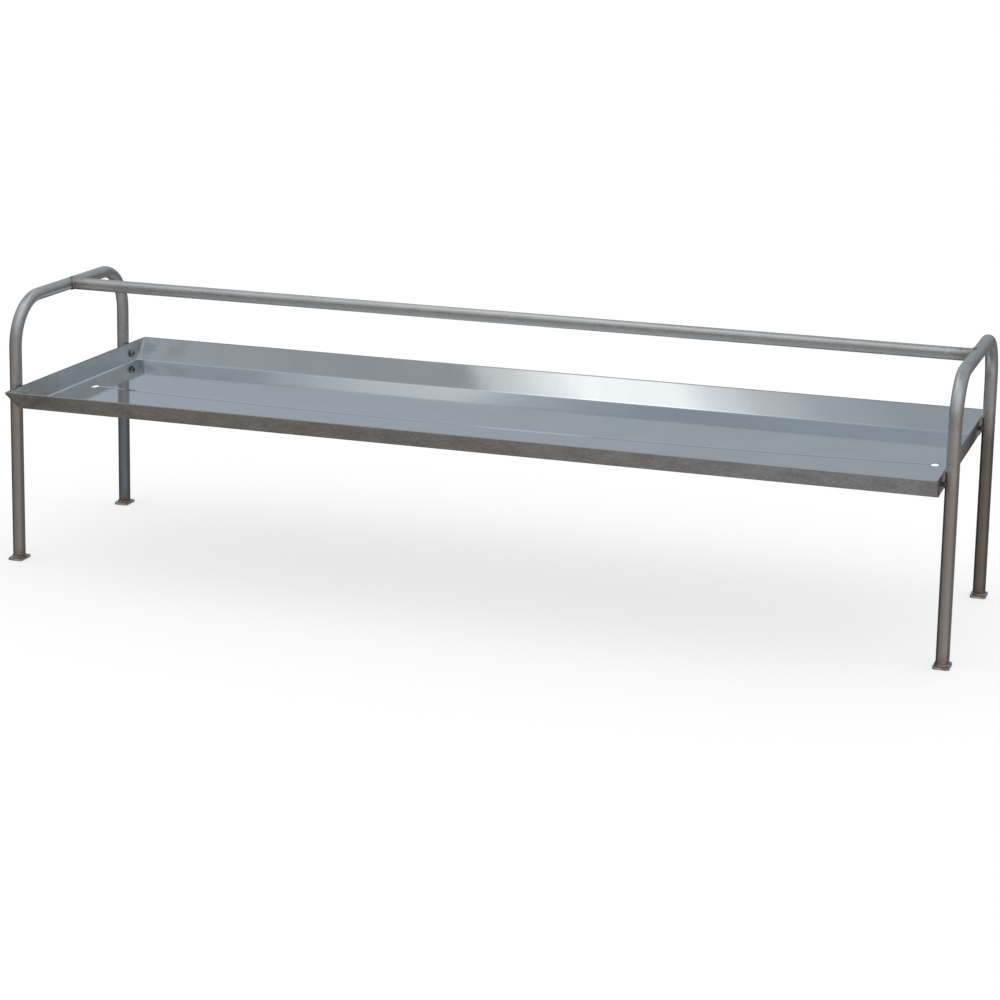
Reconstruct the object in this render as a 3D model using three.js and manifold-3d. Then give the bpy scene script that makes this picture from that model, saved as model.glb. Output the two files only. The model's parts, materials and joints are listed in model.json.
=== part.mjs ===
// Raised plant tray: a folded sheet-steel tray carried between two bent-tube hoops, whose tops are
// joined by one straight rail. Nothing on it moves.
//
// Millimetres, +Z up. The origin is the centre of the footprint, on the floor. X runs along the
// tray, from left to right, and Y from front to rear.

import * as THREE from 'three';
import { mergeVertices } from 'three/addons/utils/BufferGeometryUtils.js';
import Module from 'manifold-3d';

const wasm = await Module();
wasm.setup();

// ---------------------------------------------------------------- driving dimensions

const fitGap = 0.3;                // left between pieces that touch, fit or are welded together

// Hoops, each one tube bent into an upside-down U
const hoopSpacing = 1200;          // between the planes of the two hoops
const legSpacing = 302;            // between the centre lines of a hoop's two legs
const hoopHeight = 340;            // floor to the centre line of the top bar
const hoopTubeDiameter = 16;
const hoopTubeWall = 1.5;
const hoopBendRadius = 60;         // to the tube's centre line

// Rail between the hoop tops, coped round them and welded
const railDiameter = 16;
const railWall = 1.5;
const railWeldLeg = 1.2;

// Foot plates, one welded under each leg
const footMarginAlongX = 2;        // plate edge beyond the tube
const footMarginAlongY = 6;
const footThickness = 3;
const footCornerRadius = 4;
const footWeldLeg = 1.8;

// Tray, folded from one sheet, with its four corners seam-welded
const sheetThickness = 1.2;
const trayUnderside = 204;         // floor to the underside of the tray
const trayWallHeight = 27.5;       // underside to rim
const trayEndClearance = 1.6;      // rim of an end wall to the legs
const trayOverhang = 13;           // long fold line beyond the legs' centre lines
const longWallFlare = 34;          // how far a long wall leans out, fold to rim
const endWallFlare = 3;            // the same for an end wall
const drainWidth = 9.5;            // drain slots, along the tray
const drainLength = 17;            // the same, across it
const drainInset = 28;             // end fold to the centre of the drain slot
const drainOffset = 12;            // drain slots in front of the tray's centre line
const creaseWidth = 9;             // shallow drainage crease from drain to drain
const creaseDepth = 0.5;
const creaseBow = 25;              // its middle, in front of the drains
const creaseBowPower = 2.4;
const cornerWeldDiameter = 2;
const cornerWeldEndGap = 2;        // bare corner left at each end of the weld

// Tray bolts, through the end walls into threaded inserts in the legs
const boltDiameter = 6;
const boltHeadDiameter = 10.5;
const boltHeadHeight = 3.3;
const boltSocketFlats = 4;
const boltSocketDepth = 2;
const boltRise = 13;               // above the tray's underside
const boltHoleClearance = 0.4;     // on the radius, in the end wall
const insertBodyDiameter = 8.8;
const insertFlangeDiameter = 10;
const insertFlangeThickness = 0.7;
const insertBackClearance = 2.5;   // end of the insert to the far wall of the leg

// Facets
const tubeSegments = 12;           // per half circle
const bendSteps = 9;               // per quarter bend
const smallRoundSides = 20;
const creaseSteps = 24;

// ---------------------------------------------------------------- derived dimensions

const hoopX = hoopSpacing / 2;
const legY = legSpacing / 2;
const hoopTubeRadius = hoopTubeDiameter / 2;
const railRadius = railDiameter / 2;
const legBottom = footThickness + fitGap;
const boltZ = trayUnderside + boltRise;
const rim = {
  halfLength: hoopX - hoopTubeRadius - trayEndClearance,
  halfDepth: legY + trayOverhang + longWallFlare,
  z: trayUnderside + trayWallHeight,
};
const fold = {
  halfLength: rim.halfLength - endWallFlare,
  halfDepth: legY + trayOverhang,
  z: trayUnderside,
};
const boltHeadUnderside = endWallInnerFace(boltZ - boltHeadDiameter / 2) - fitGap;
const insertFace = hoopX - hoopTubeRadius - fitGap;
const insertEnd = hoopX + hoopTubeRadius - hoopTubeWall - insertBackClearance;

// ---------------------------------------------------------------- finishes

const finishes = {
  tube: new THREE.MeshStandardMaterial({ color: 0x8a8783, roughness: 0.42, metalness: 1.0 }),
  footPlate: new THREE.MeshStandardMaterial({ color: 0x847a74, roughness: 0.5, metalness: 1.0 }),
  weld: new THREE.MeshStandardMaterial({ color: 0x6f6862, roughness: 0.55, metalness: 1.0 }),
  traySheet: new THREE.MeshStandardMaterial({ color: 0x9aa0a3, roughness: 0.25, metalness: 1.0 }),
  fastener: new THREE.MeshStandardMaterial({ color: 0x7d7f82, roughness: 0.35, metalness: 1.0 }),
};

// ---------------------------------------------------------------- helpers

// A closed mesh as a solid that can be cut and joined.
function solidOf(geometry) {
  const bare = geometry.clone();
  bare.deleteAttribute('normal');
  bare.deleteAttribute('uv');
  const merged = mergeVertices(bare, 1e-4);
  return new wasm.Manifold(new wasm.Mesh({
    numProp: 3,
    vertProperties: merged.attributes.position.array,
    triVerts: Uint32Array.from(merged.index.array),
  }));
}

function geometryOf(solid) {
  const mesh = solid.getMesh();
  const geometry = new THREE.BufferGeometry();
  geometry.setAttribute('position', new THREE.BufferAttribute(mesh.vertProperties, 3));
  geometry.setIndex(new THREE.BufferAttribute(mesh.triVerts, 1));
  geometry.computeVertexNormals();
  return geometry;
}

function ringShape(outerRadius, innerRadius) {
  const shape = new THREE.Shape().absarc(0, 0, outerRadius, 0, 2 * Math.PI);
  shape.holes.push(new THREE.Path().absarc(0, 0, innerRadius, 0, 2 * Math.PI, true));
  return shape;
}

function roundedRectangle(width, height, radius) {
  const x = width / 2;
  const y = height / 2;
  const shape = new THREE.Shape();
  shape.absarc(x - radius, y - radius, radius, 0, Math.PI / 2);
  shape.absarc(radius - x, y - radius, radius, Math.PI / 2, Math.PI);
  shape.absarc(radius - x, radius - y, radius, Math.PI, 1.5 * Math.PI);
  shape.absarc(x - radius, radius - y, radius, 1.5 * Math.PI, 2 * Math.PI);
  return shape.closePath();
}

function cylinderAlongX(radius, length, sides) {
  return new THREE.CylinderGeometry(radius, radius, length, sides).rotateZ(Math.PI / 2);
}

function cylinderAlongY(radius, length, sides) {
  return new THREE.CylinderGeometry(radius, radius, length, sides);
}

// A turned piece on the X axis. The profile is a list of [along, radius] points.
function turnedAlongX(profile) {
  const points = profile.map(([along, radius]) => new THREE.Vector2(radius, along));
  return new THREE.LatheGeometry(points, smallRoundSides).rotateZ(-Math.PI / 2);
}

// A curve known only at its stations, so an extrusion along it has rings only there.
class StationCurve extends THREE.Curve {
  constructor(stations) {
    super();
    this.stations = stations;
  }

  get steps() {
    return this.stations.length - 1;
  }

  stationAt(t) {
    return this.stations[Math.round(t * this.steps)];
  }

  getPoint(t, target = new THREE.Vector3()) {
    return target.copy(this.stationAt(t).point);
  }

  getTangent(t, target = new THREE.Vector3()) {
    return target.copy(this.stationAt(t).tangent);
  }

  getUtoTmapping(u) {
    return u;
  }
}

function named(name, geometry, material) {
  const mesh = new THREE.Mesh(geometry, material);
  mesh.name = name;
  return mesh;
}

// ---------------------------------------------------------------- hoops

// Centre line of a hoop in the plane x = 0: up the front leg, over the bends, down the rear leg.
function hoopCentreLine() {
  const bendY = legY - hoopBendRadius;
  const bendZ = hoopHeight - hoopBendRadius;
  const up = new THREE.Vector3(0, 0, 1);
  const down = new THREE.Vector3(0, 0, -1);
  const stations = [{ point: new THREE.Vector3(0, -legY, legBottom), tangent: up }];
  for (const centreY of [-bendY, bendY]) {
    const startAngle = centreY < 0 ? Math.PI : Math.PI / 2;
    for (let step = 0; step <= bendSteps; step++) {
      const angle = startAngle - (Math.PI / 2) * (step / bendSteps);
      const outward = new THREE.Vector3(0, Math.cos(angle), Math.sin(angle));
      const centre = new THREE.Vector3(0, centreY, bendZ);
      stations.push({
        point: outward.clone().multiplyScalar(hoopBendRadius).add(centre),
        tangent: new THREE.Vector3(0, Math.sin(angle), -Math.cos(angle)),
      });
    }
  }
  stations.push({ point: new THREE.Vector3(0, legY, legBottom), tangent: down });
  return new StationCurve(stations);
}

// A hoop standing in the plane x = 0, with its insert holes on the side that faces -X.
function hoopGeometry() {
  const path = hoopCentreLine();
  const tube = new THREE.ExtrudeGeometry(
    ringShape(hoopTubeRadius, hoopTubeRadius - hoopTubeWall),
    { extrudePath: path, steps: path.steps, curveSegments: tubeSegments },
  );
  let hoop = solidOf(tube);
  const holeRadius = insertBodyDiameter / 2 + fitGap;
  for (const side of [-1, 1]) {
    const drill = cylinderAlongX(holeRadius, hoopTubeRadius, smallRoundSides);
    drill.translate(-hoopTubeRadius, side * legY, boltZ);
    hoop = hoop.subtract(solidOf(drill));
  }
  return geometryOf(hoop);
}

// ---------------------------------------------------------------- feet

function footPlateGeometry() {
  const plate = roundedRectangle(
    hoopTubeDiameter + 2 * footMarginAlongX,
    hoopTubeDiameter + 2 * footMarginAlongY,
    footCornerRadius,
  );
  return new THREE.ExtrudeGeometry(plate, { depth: footThickness, bevelEnabled: false, curveSegments: 3 });
}

// A fillet weld round the leg, on top of the plate, with a slightly hollow face.
function footWeldGeometry() {
  const inner = hoopTubeRadius + fitGap;
  const bottom = footThickness + fitGap;
  const hollow = 0.36 * footWeldLeg;
  const profile = [
    new THREE.Vector2(inner, bottom),
    new THREE.Vector2(inner + footWeldLeg, bottom),
    new THREE.Vector2(inner + hollow, bottom + hollow),
    new THREE.Vector2(inner, bottom + footWeldLeg),
    new THREE.Vector2(inner, bottom),
  ];
  return new THREE.LatheGeometry(profile, 2 * tubeSegments).rotateX(Math.PI / 2);
}

// ---------------------------------------------------------------- rail

function topBar(radius) {
  return cylinderAlongY(radius, legSpacing, 2 * tubeSegments);
}

function railGeometry() {
  const section = ringShape(railRadius, railRadius - railWall);
  const tube = new THREE.ExtrudeGeometry(section, {
    depth: hoopSpacing, bevelEnabled: false, curveSegments: tubeSegments,
  });
  let rail = solidOf(tube.translate(0, 0, -hoopX).rotateY(Math.PI / 2));
  for (const side of [-1, 1]) {
    const bar = topBar(hoopTubeRadius + fitGap).translate(side * hoopX, 0, 0);
    rail = rail.subtract(solidOf(bar));
  }
  return geometryOf(rail.translate(0, 0, hoopHeight));
}

// The bead where the rail's coped end meets a top bar that lies on the Y axis; the rail runs to -X.
function railWeldGeometry() {
  const reach = Math.max(hoopTubeRadius, railRadius) + railWeldLeg;
  const railSleeve = cylinderAlongX(railRadius + railWeldLeg, 2 * reach, 2 * tubeSegments);
  const railHole = cylinderAlongX(railRadius + fitGap, 3 * reach, 2 * tubeSegments);
  const bead = solidOf(railSleeve.translate(-reach, 0, 0))
    .intersect(solidOf(topBar(reach)))
    .subtract(solidOf(topBar(hoopTubeRadius + fitGap)))
    .subtract(solidOf(railHole));
  return geometryOf(bead);
}

// ---------------------------------------------------------------- tray

// How far the outside of a wall stands from the centre at height z; flare is linear, fold to rim.
function wallOutside(foldHalf, rimHalf, z) {
  return foldHalf + (rimHalf - foldHalf) * ((z - fold.z) / trayWallHeight);
}

// A leaning sheet measures more across, on the level, than its thickness.
function levelThickness(flare) {
  return sheetThickness * Math.hypot(1, flare / trayWallHeight);
}

function endWallInnerFace(z) {
  return wallOutside(fold.halfLength, rim.halfLength, z) - levelThickness(endWallFlare);
}

function longWallInnerFace(z) {
  return wallOutside(fold.halfDepth, rim.halfDepth, z) - levelThickness(longWallFlare);
}

// A box whose bottom and top are different rectangles, each { halfLength, halfDepth, z }.
function flaredBox(bottom, top) {
  const box = new THREE.BoxGeometry(2, 2, 2);
  const corner = box.attributes.position;
  for (let i = 0; i < corner.count; i++) {
    const level = corner.getZ(i) > 0 ? top : bottom;
    const x = corner.getX(i) * level.halfLength;
    const y = corner.getY(i) * level.halfDepth;
    corner.setXYZ(i, x, y, level.z);
  }
  return box;
}

// The line of the crease, which bows toward the front between the drains.
function creaseLine(x, halfLength) {
  const share = Math.min(1, Math.abs(x) / halfLength);
  return -drainOffset - creaseBow * (1 - share ** creaseBowPower);
}

// A ridge along the tray with a V section: its flat side at height z, its edge creaseDepth below.
// It rises above z by cover, which sinks into the sheet or clears its top.
function creaseRidge(z, cover, halfLength) {
  const half = creaseWidth / 2;
  const section = new THREE.Shape([
    new THREE.Vector2(-half, cover),
    new THREE.Vector2(-half, 0),
    new THREE.Vector2(0, -creaseDepth),
    new THREE.Vector2(half, 0),
    new THREE.Vector2(half, cover),
  ]);
  const ridge = new THREE.ExtrudeGeometry(section, {
    depth: 2 * halfLength, steps: creaseSteps, bevelEnabled: false,
  });
  const alongX = new THREE.Matrix4().makeBasis(
    new THREE.Vector3(0, 1, 0),
    new THREE.Vector3(0, 0, 1),
    new THREE.Vector3(1, 0, 0),
  );
  ridge.applyMatrix4(alongX).translate(-halfLength, 0, z);
  const corner = ridge.attributes.position;
  for (let i = 0; i < corner.count; i++) {
    corner.setY(i, corner.getY(i) + creaseLine(corner.getX(i), halfLength));
  }
  return ridge;
}

// A cutter for a drain slot, its length across the tray.
function drainSlot() {
  const straight = (drainLength - drainWidth) / 2;
  const slot = new THREE.Shape();
  slot.absarc(0, straight, drainWidth / 2, 0, Math.PI);
  slot.absarc(0, -straight, drainWidth / 2, Math.PI, 2 * Math.PI);
  slot.closePath();
  const cutter = new THREE.ExtrudeGeometry(slot, {
    depth: trayWallHeight, curveSegments: smallRoundSides, bevelEnabled: false,
  });
  return cutter.translate(0, 0, -trayWallHeight / 2);
}

function trayGeometry() {
  const floorTop = fold.z + sheetThickness;
  const aboveRim = rim.z + trayWallHeight;
  const drainX = fold.halfLength - drainInset;
  const well = flaredBox(
    { halfLength: endWallInnerFace(floorTop), halfDepth: longWallInnerFace(floorTop), z: floorTop },
    { halfLength: endWallInnerFace(aboveRim), halfDepth: longWallInnerFace(aboveRim), z: aboveRim },
  );
  let tray = solidOf(flaredBox(fold, rim))
    .add(solidOf(creaseRidge(fold.z, sheetThickness / 2, drainX)))
    .subtract(solidOf(well))
    .subtract(solidOf(creaseRidge(floorTop, sheetThickness, drainX)));
  for (const side of [-1, 1]) {
    const drain = drainSlot().translate(side * drainX, -drainOffset, fold.z);
    tray = tray.subtract(solidOf(drain));
    const boltHole = cylinderAlongX(
      boltDiameter / 2 + boltHoleClearance, 2 * hoopSpacing, smallRoundSides,
    );
    tray = tray.subtract(solidOf(boltHole.translate(0, side * legY, boltZ)));
  }
  return geometryOf(tray);
}

// The bead that closes one corner of the tray, just outside the edge from fold to rim.
function cornerWeldMesh(name, sideX, sideY) {
  const low = new THREE.Vector3(sideX * fold.halfLength, sideY * fold.halfDepth, fold.z);
  const high = new THREE.Vector3(sideX * rim.halfLength, sideY * rim.halfDepth, rim.z);
  const along = high.clone().sub(low);
  const length = along.length() - 2 * cornerWeldEndGap;
  const endWallNormal = new THREE.Vector3(sideX * trayWallHeight, 0, -endWallFlare).normalize();
  const longWallNormal = new THREE.Vector3(0, sideY * trayWallHeight, -longWallFlare).normalize();
  const outward = endWallNormal.add(longWallNormal).normalize();
  const radius = cornerWeldDiameter / 2;
  const bead = new THREE.CylinderGeometry(radius, radius, length, 8);
  const mesh = named(name, bead, finishes.weld);
  mesh.quaternion.setFromUnitVectors(new THREE.Vector3(0, 1, 0), along.normalize());
  mesh.position.copy(low).add(high).multiplyScalar(0.5);
  mesh.position.addScaledVector(outward, radius + fitGap);
  return mesh;
}

// ---------------------------------------------------------------- tray fasteners

// A button-head bolt pointing to +X, with its head's underside at x = 0.
function boltGeometry() {
  const domeSteps = 4;
  const headRadius = boltHeadDiameter / 2;
  const crownRadius = 0.55 * headRadius;
  const profile = [[-boltHeadHeight, 0], [-boltHeadHeight, crownRadius]];
  for (let step = 1; step <= domeSteps; step++) {
    const angle = (Math.PI / 2) * (step / domeSteps);
    const along = -boltHeadHeight * Math.cos(angle);
    profile.push([along, crownRadius + (headRadius - crownRadius) * Math.sin(angle)]);
  }
  const tip = insertEnd - boltHeadUnderside;
  const chamfer = 0.8;
  profile.push(
    [0, boltDiameter / 2],
    [tip - chamfer, boltDiameter / 2],
    [tip, boltDiameter / 2 - chamfer],
    [tip, 0],
  );
  const socketRadius = boltSocketFlats / Math.sqrt(3);
  const socket = cylinderAlongX(socketRadius, 2 * boltSocketDepth, 6);
  const bolt = solidOf(turnedAlongX(profile));
  return geometryOf(bolt.subtract(solidOf(socket.translate(-boltHeadHeight, 0, 0))));
}

// A threaded insert along +X, with its flange's far face at x = 0, where it meets the leg.
function insertGeometry() {
  const bore = boltDiameter / 2 + fitGap;
  const body = insertBodyDiameter / 2;
  const flange = insertFlangeDiameter / 2;
  const end = insertEnd - insertFace;
  return turnedAlongX([
    [-insertFlangeThickness, bore],
    [-insertFlangeThickness, flange],
    [0, flange],
    [0, body],
    [end, body],
    [end, bore],
    [-insertFlangeThickness, bore],
  ]);
}

// ---------------------------------------------------------------- assembly

const planter = new THREE.Group();

const shared = {
  hoop: hoopGeometry(),
  footPlate: footPlateGeometry(),
  footWeld: footWeldGeometry(),
  railWeld: railWeldGeometry(),
  bolt: boltGeometry(),
  insert: insertGeometry(),
};

planter.add(named('top_rail', railGeometry(), finishes.tube));
planter.add(named('tray', trayGeometry(), finishes.traySheet));

for (const [end, sideX] of [['left', -1], ['right', 1]]) {
  // Everything at one end is made for the right-hand end and turned about Z for the left.
  const endGroup = new THREE.Group();
  endGroup.rotation.z = sideX > 0 ? 0 : Math.PI;

  const hoop = named(`${end}_hoop`, shared.hoop, finishes.tube);
  hoop.position.x = hoopX;
  endGroup.add(hoop);

  const railWeld = named(`rail_weld_${end}`, shared.railWeld, finishes.weld);
  railWeld.position.set(hoopX, 0, hoopHeight);
  endGroup.add(railWeld);

  for (const [row, sideY] of [['front', -1], ['rear', 1]]) {
    const place = `${row}_${end}`;
    const y = sideX * sideY * legY;
    const pieces = [
      [`foot_plate_${place}`, shared.footPlate, finishes.footPlate, hoopX, 0],
      [`foot_weld_${place}`, shared.footWeld, finishes.weld, hoopX, 0],
      [`tray_bolt_${place}`, shared.bolt, finishes.fastener, boltHeadUnderside, boltZ],
      [`leg_insert_${place}`, shared.insert, finishes.fastener, insertFace, boltZ],
    ];
    for (const [name, geometry, finish, x, z] of pieces) {
      const mesh = named(name, geometry, finish);
      mesh.position.set(x, y, z);
      endGroup.add(mesh);
    }
    planter.add(cornerWeldMesh(`corner_weld_${place}`, sideX, sideY));
  }
  planter.add(endGroup);
}

export default planter;
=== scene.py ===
"""Raised plant tray: a folded sheet-steel tray carried between two bent-tube hoops with a top rail.

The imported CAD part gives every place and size. Each piece here stands for the CAD node of the same
name, with the bends, folds, weld beads, threads and finishes that the CAD leaves out. Metres, +Z up.
"""

import json
import math

import bmesh
import bpy
from mathutils import Matrix, Vector, noise

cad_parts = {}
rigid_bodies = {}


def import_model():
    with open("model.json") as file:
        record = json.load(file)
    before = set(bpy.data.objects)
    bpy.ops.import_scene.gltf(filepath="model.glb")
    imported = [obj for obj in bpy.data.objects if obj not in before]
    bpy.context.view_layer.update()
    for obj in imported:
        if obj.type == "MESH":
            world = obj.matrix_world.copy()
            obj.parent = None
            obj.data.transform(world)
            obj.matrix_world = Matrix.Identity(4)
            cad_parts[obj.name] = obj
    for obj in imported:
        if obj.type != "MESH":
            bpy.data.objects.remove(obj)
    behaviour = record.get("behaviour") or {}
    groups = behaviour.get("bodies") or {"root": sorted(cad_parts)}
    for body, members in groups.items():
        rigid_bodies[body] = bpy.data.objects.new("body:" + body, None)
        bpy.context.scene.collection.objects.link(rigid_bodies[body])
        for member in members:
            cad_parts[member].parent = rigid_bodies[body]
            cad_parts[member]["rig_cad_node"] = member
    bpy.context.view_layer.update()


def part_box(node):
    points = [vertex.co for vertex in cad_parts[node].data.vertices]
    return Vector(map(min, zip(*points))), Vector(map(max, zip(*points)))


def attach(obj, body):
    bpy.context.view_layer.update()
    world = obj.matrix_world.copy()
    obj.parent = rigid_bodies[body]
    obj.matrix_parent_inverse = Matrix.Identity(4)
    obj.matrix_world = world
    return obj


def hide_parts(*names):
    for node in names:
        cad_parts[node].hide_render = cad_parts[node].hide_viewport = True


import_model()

bl_info = {
    "name": "Raised Plant Tray",
    "version": (1, 0, 0),
    "blender": (4, 5, 0),
    "location": "3D View > Sidebar > Plant Tray",
    "description": "Builds a steel plant tray on bent-tube hoops around its CAD frame",
    "category": "Object",
}

# ---------------------------------------------------------------- places that the CAD frame gives

hoop_low, hoop_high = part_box("right_hoop")
rail_low, rail_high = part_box("top_rail")
tray_low, tray_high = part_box("tray")
bolt_low, bolt_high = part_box("tray_bolt_rear_right")
plate_low, plate_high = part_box("foot_plate_rear_right")

HOOP_X = (hoop_low.x + hoop_high.x) / 2
TUBE_RADIUS = (hoop_high.x - hoop_low.x) / 2
LEG_Y = hoop_high.y - TUBE_RADIUS
HOOP_TOP = hoop_high.z - TUBE_RADIUS
LEG_FOOT = hoop_low.z
RAIL_Z = (rail_low.z + rail_high.z) / 2
RAIL_RADIUS = (rail_high.z - rail_low.z) / 2
RIM_X = tray_high.x
RIM_Y = tray_high.y
RIM_Z = tray_high.z
BOLT_Y = (bolt_low.y + bolt_high.y) / 2
BOLT_Z = (bolt_low.z + bolt_high.z) / 2
BOLT_HEAD_RADIUS = (bolt_high.z - bolt_low.z) / 2
PLATE_TOP = plate_high.z

ENDS = (("left", -1), ("right", 1))
ROWS = (("front", -1), ("rear", 1))


# ---------------------------------------------------------------- settings


def length(name, default, description, **more):
    """A length setting, in metres."""
    return bpy.props.FloatProperty(
        name=name, description=description, default=default, unit="LENGTH", **more
    )


def angle(name, default, description):
    """An angle setting, in radians."""
    return bpy.props.FloatProperty(
        name=name, description=description, default=default, subtype="ANGLE"
    )


def metal_colour(name, default, description):
    """A base colour setting."""
    return bpy.props.FloatVectorProperty(
        name=name, description=description, default=default, size=3, min=0.0, max=1.0, subtype="COLOR"
    )


class TubeSizes(bpy.types.PropertyGroup):
    """Sizes of the hoops and the rail that the CAD boxes don't give."""

    wall: length("Wall", 0.0015, "Wall thickness of the hoops and the rail")
    bend_radius: length("Bend radius", 0.060, "Radius of a hoop's bends, to the tube's centre line")
    bend_flattening: bpy.props.FloatProperty(
        name="Bend flattening",
        description="Share by which the tube's section narrows across a bend",
        default=0.035,
        min=0.0,
        max=0.2,
        subtype="FACTOR",
    )
    sides: bpy.props.IntProperty(
        name="Sides",
        description="Facets round a tube",
        default=48,
        min=16,
    )
    bend_steps: bpy.props.IntProperty(
        name="Bend steps",
        description="Rings along a quarter bend",
        default=28,
        min=8,
    )


class TraySizes(bpy.types.PropertyGroup):
    """Sizes of the folded tray."""

    sheet: length("Sheet", 0.0012, "Thickness of the steel sheet")
    underside: length("Underside", 0.204, "Floor to the underside of the tray")
    long_flare: length("Long wall flare", 0.034, "How far a long wall leans out, fold to rim")
    end_flare: length("End wall flare", 0.003, "How far an end wall leans out, fold to rim")
    fold_radius: length("Fold radius", 0.0013, "Inside radius of the folds")
    drain_inset: length("Drain inset", 0.028, "End fold to the centre of a drain slot")
    drain_width: length("Drain width", 0.0095, "Width of the two drain slots, along the tray")
    drain_length: length("Drain length", 0.017, "Length of the two drain slots, across the tray")
    drain_offset: length("Drain offset", 0.012, "Drain slots in front of the tray's centre line")
    crease_width: length("Crease width", 0.009, "Width of the drainage crease along the floor")
    crease_bow: length("Crease bow", 0.025, "How far the crease's middle stands in front of the drains")
    crease_bow_power: bpy.props.FloatProperty(
        name="Crease bow power",
        description="Shape of the crease's bow: 2 is a parabola, more is flatter in the middle",
        default=2.4,
    )
    crease_depth: length("Crease depth", 0.0005, "Depth of the drainage crease", precision=5)
    waviness: length("Waviness", 0.00012, "Height of the sheet's gentle unevenness", precision=5)


class WeldSizes(bpy.types.PropertyGroup):
    """Sizes of the weld beads."""

    ripple_pitch: length("Ripple pitch", 0.0015, "Distance from one ripple of a bead to the next")
    ripple_depth: bpy.props.FloatProperty(
        name="Ripple depth",
        description="Height of a ripple as a share of the bead's radius",
        default=0.16,
        subtype="FACTOR",
    )
    rail_bead: length("Rail bead radius", 0.00125, "Bead round the rail's coped ends", precision=5)
    corner_bead: length("Corner bead radius", 0.0009, "Bead along the tray's corners", precision=5)


class FastenerSizes(bpy.types.PropertyGroup):
    """Sizes of the tray bolts and their inserts."""

    thread_radius: length("Thread radius", 0.003, "Outside radius of the bolt's thread")
    thread_pitch: length("Thread pitch", 0.001, "Distance from one thread crest to the next")
    thread_depth: length("Thread depth", 0.00055, "Crest to root of the bolt's thread", precision=5)
    head_height: length("Head height", 0.0033, "Height of the bolt's button head")
    socket_flats: length("Socket flats", 0.004, "Across the flats of the hexagon socket")
    socket_depth: length("Socket depth", 0.002, "Depth of the hexagon socket")
    insert_flange: length("Insert flange", 0.0007, "Thickness of the insert's flange", precision=5)
    insert_body: length("Insert body radius", 0.0044, "Outside radius of the insert inside the leg")


class Finishes(bpy.types.PropertyGroup):
    """Base colours of the metals."""

    tube: metal_colour("Tube", (0.47, 0.46, 0.45), "Raw steel tube")
    tray: metal_colour("Tray", (0.62, 0.645, 0.665), "Zinc-coated sheet")
    plate: metal_colour("Foot plate", (0.40, 0.385, 0.37), "Raw steel plate")
    weld: metal_colour("Weld", (0.36, 0.35, 0.34), "Weld metal")
    zinc: metal_colour("Fastener zinc", (0.45, 0.46, 0.47), "Zinc-plated bolts and inserts")
    rust: metal_colour("Rust", (0.30, 0.12, 0.045), "Rust beside the welds")


class Studio(bpy.types.PropertyGroup):
    """Camera and light."""

    camera_place: bpy.props.FloatVectorProperty(
        name="Camera place",
        description="Where the camera stands",
        default=(0.987, -2.985, 0.934),
        size=3,
        subtype="XYZ",
        unit="LENGTH",
    )
    camera_yaw: angle("Yaw", 0.3182, "Turn of the camera to the left of straight ahead")
    camera_pitch: angle("Pitch", 0.1958, "How far the camera looks down")
    camera_roll: angle("Roll", 0.0187, "Turn of the camera about its own axis")
    lens: bpy.props.FloatProperty(
        name="Lens",
        description="Focal length on a 36 mm sensor, in millimetres",
        default=91.4,
    )
    shift_y: bpy.props.FloatProperty(
        name="Vertical shift",
        description="Vertical shift of the view",
        default=-0.16,
    )
    card_height: length("Light height", 1.8, "Height of the long soft light above the floor")


class PlantTraySettings(bpy.types.PropertyGroup):
    """Every setting of the plant tray."""

    tube: bpy.props.PointerProperty(type=TubeSizes, name="Tube", description="Hoops and rail")
    tray: bpy.props.PointerProperty(type=TraySizes, name="Tray", description="Folded tray")
    weld: bpy.props.PointerProperty(type=WeldSizes, name="Welds", description="Weld beads")
    fastener: bpy.props.PointerProperty(
        type=FastenerSizes, name="Fasteners", description="Bolts and inserts"
    )
    finish: bpy.props.PointerProperty(type=Finishes, name="Finishes", description="Metal colours")
    studio: bpy.props.PointerProperty(type=Studio, name="Studio", description="Camera and light")


def settings():
    return bpy.context.scene.plant_tray


# ---------------------------------------------------------------- meshes


def smooth_step(low, high, value):
    share = min(1.0, max(0.0, (value - low) / (high - low)))
    return share * share * (3 - 2 * share)


def make_object(name, vertices, faces):
    """A new mesh object, in place of any earlier one of that name, with its faces turned outward."""
    old = bpy.data.objects.get(name)
    if old is not None and "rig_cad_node" not in old:
        bpy.data.objects.remove(old)
    mesh = bpy.data.meshes.new(name)
    mesh.from_pydata([tuple(v) for v in vertices], [], faces)
    mesh.validate()
    turn_outward(mesh)
    obj = bpy.data.objects.new(name, mesh)
    bpy.context.scene.collection.objects.link(obj)
    return obj


def turn_outward(mesh):
    shell = bmesh.new()
    shell.from_mesh(mesh)
    bmesh.ops.recalc_face_normals(shell, faces=shell.faces)
    shell.to_mesh(mesh)
    shell.free()


def present(obj, node, material, sharp_angle=math.radians(32)):
    """Shades a finished piece, and lets it stand for its CAD node on the one body."""
    obj.data.shade_smooth()
    obj.data.set_sharp_from_angle(angle=sharp_angle)
    obj.data.materials.clear()
    obj.data.materials.append(material)
    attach(obj, "root")
    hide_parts(node)


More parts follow.
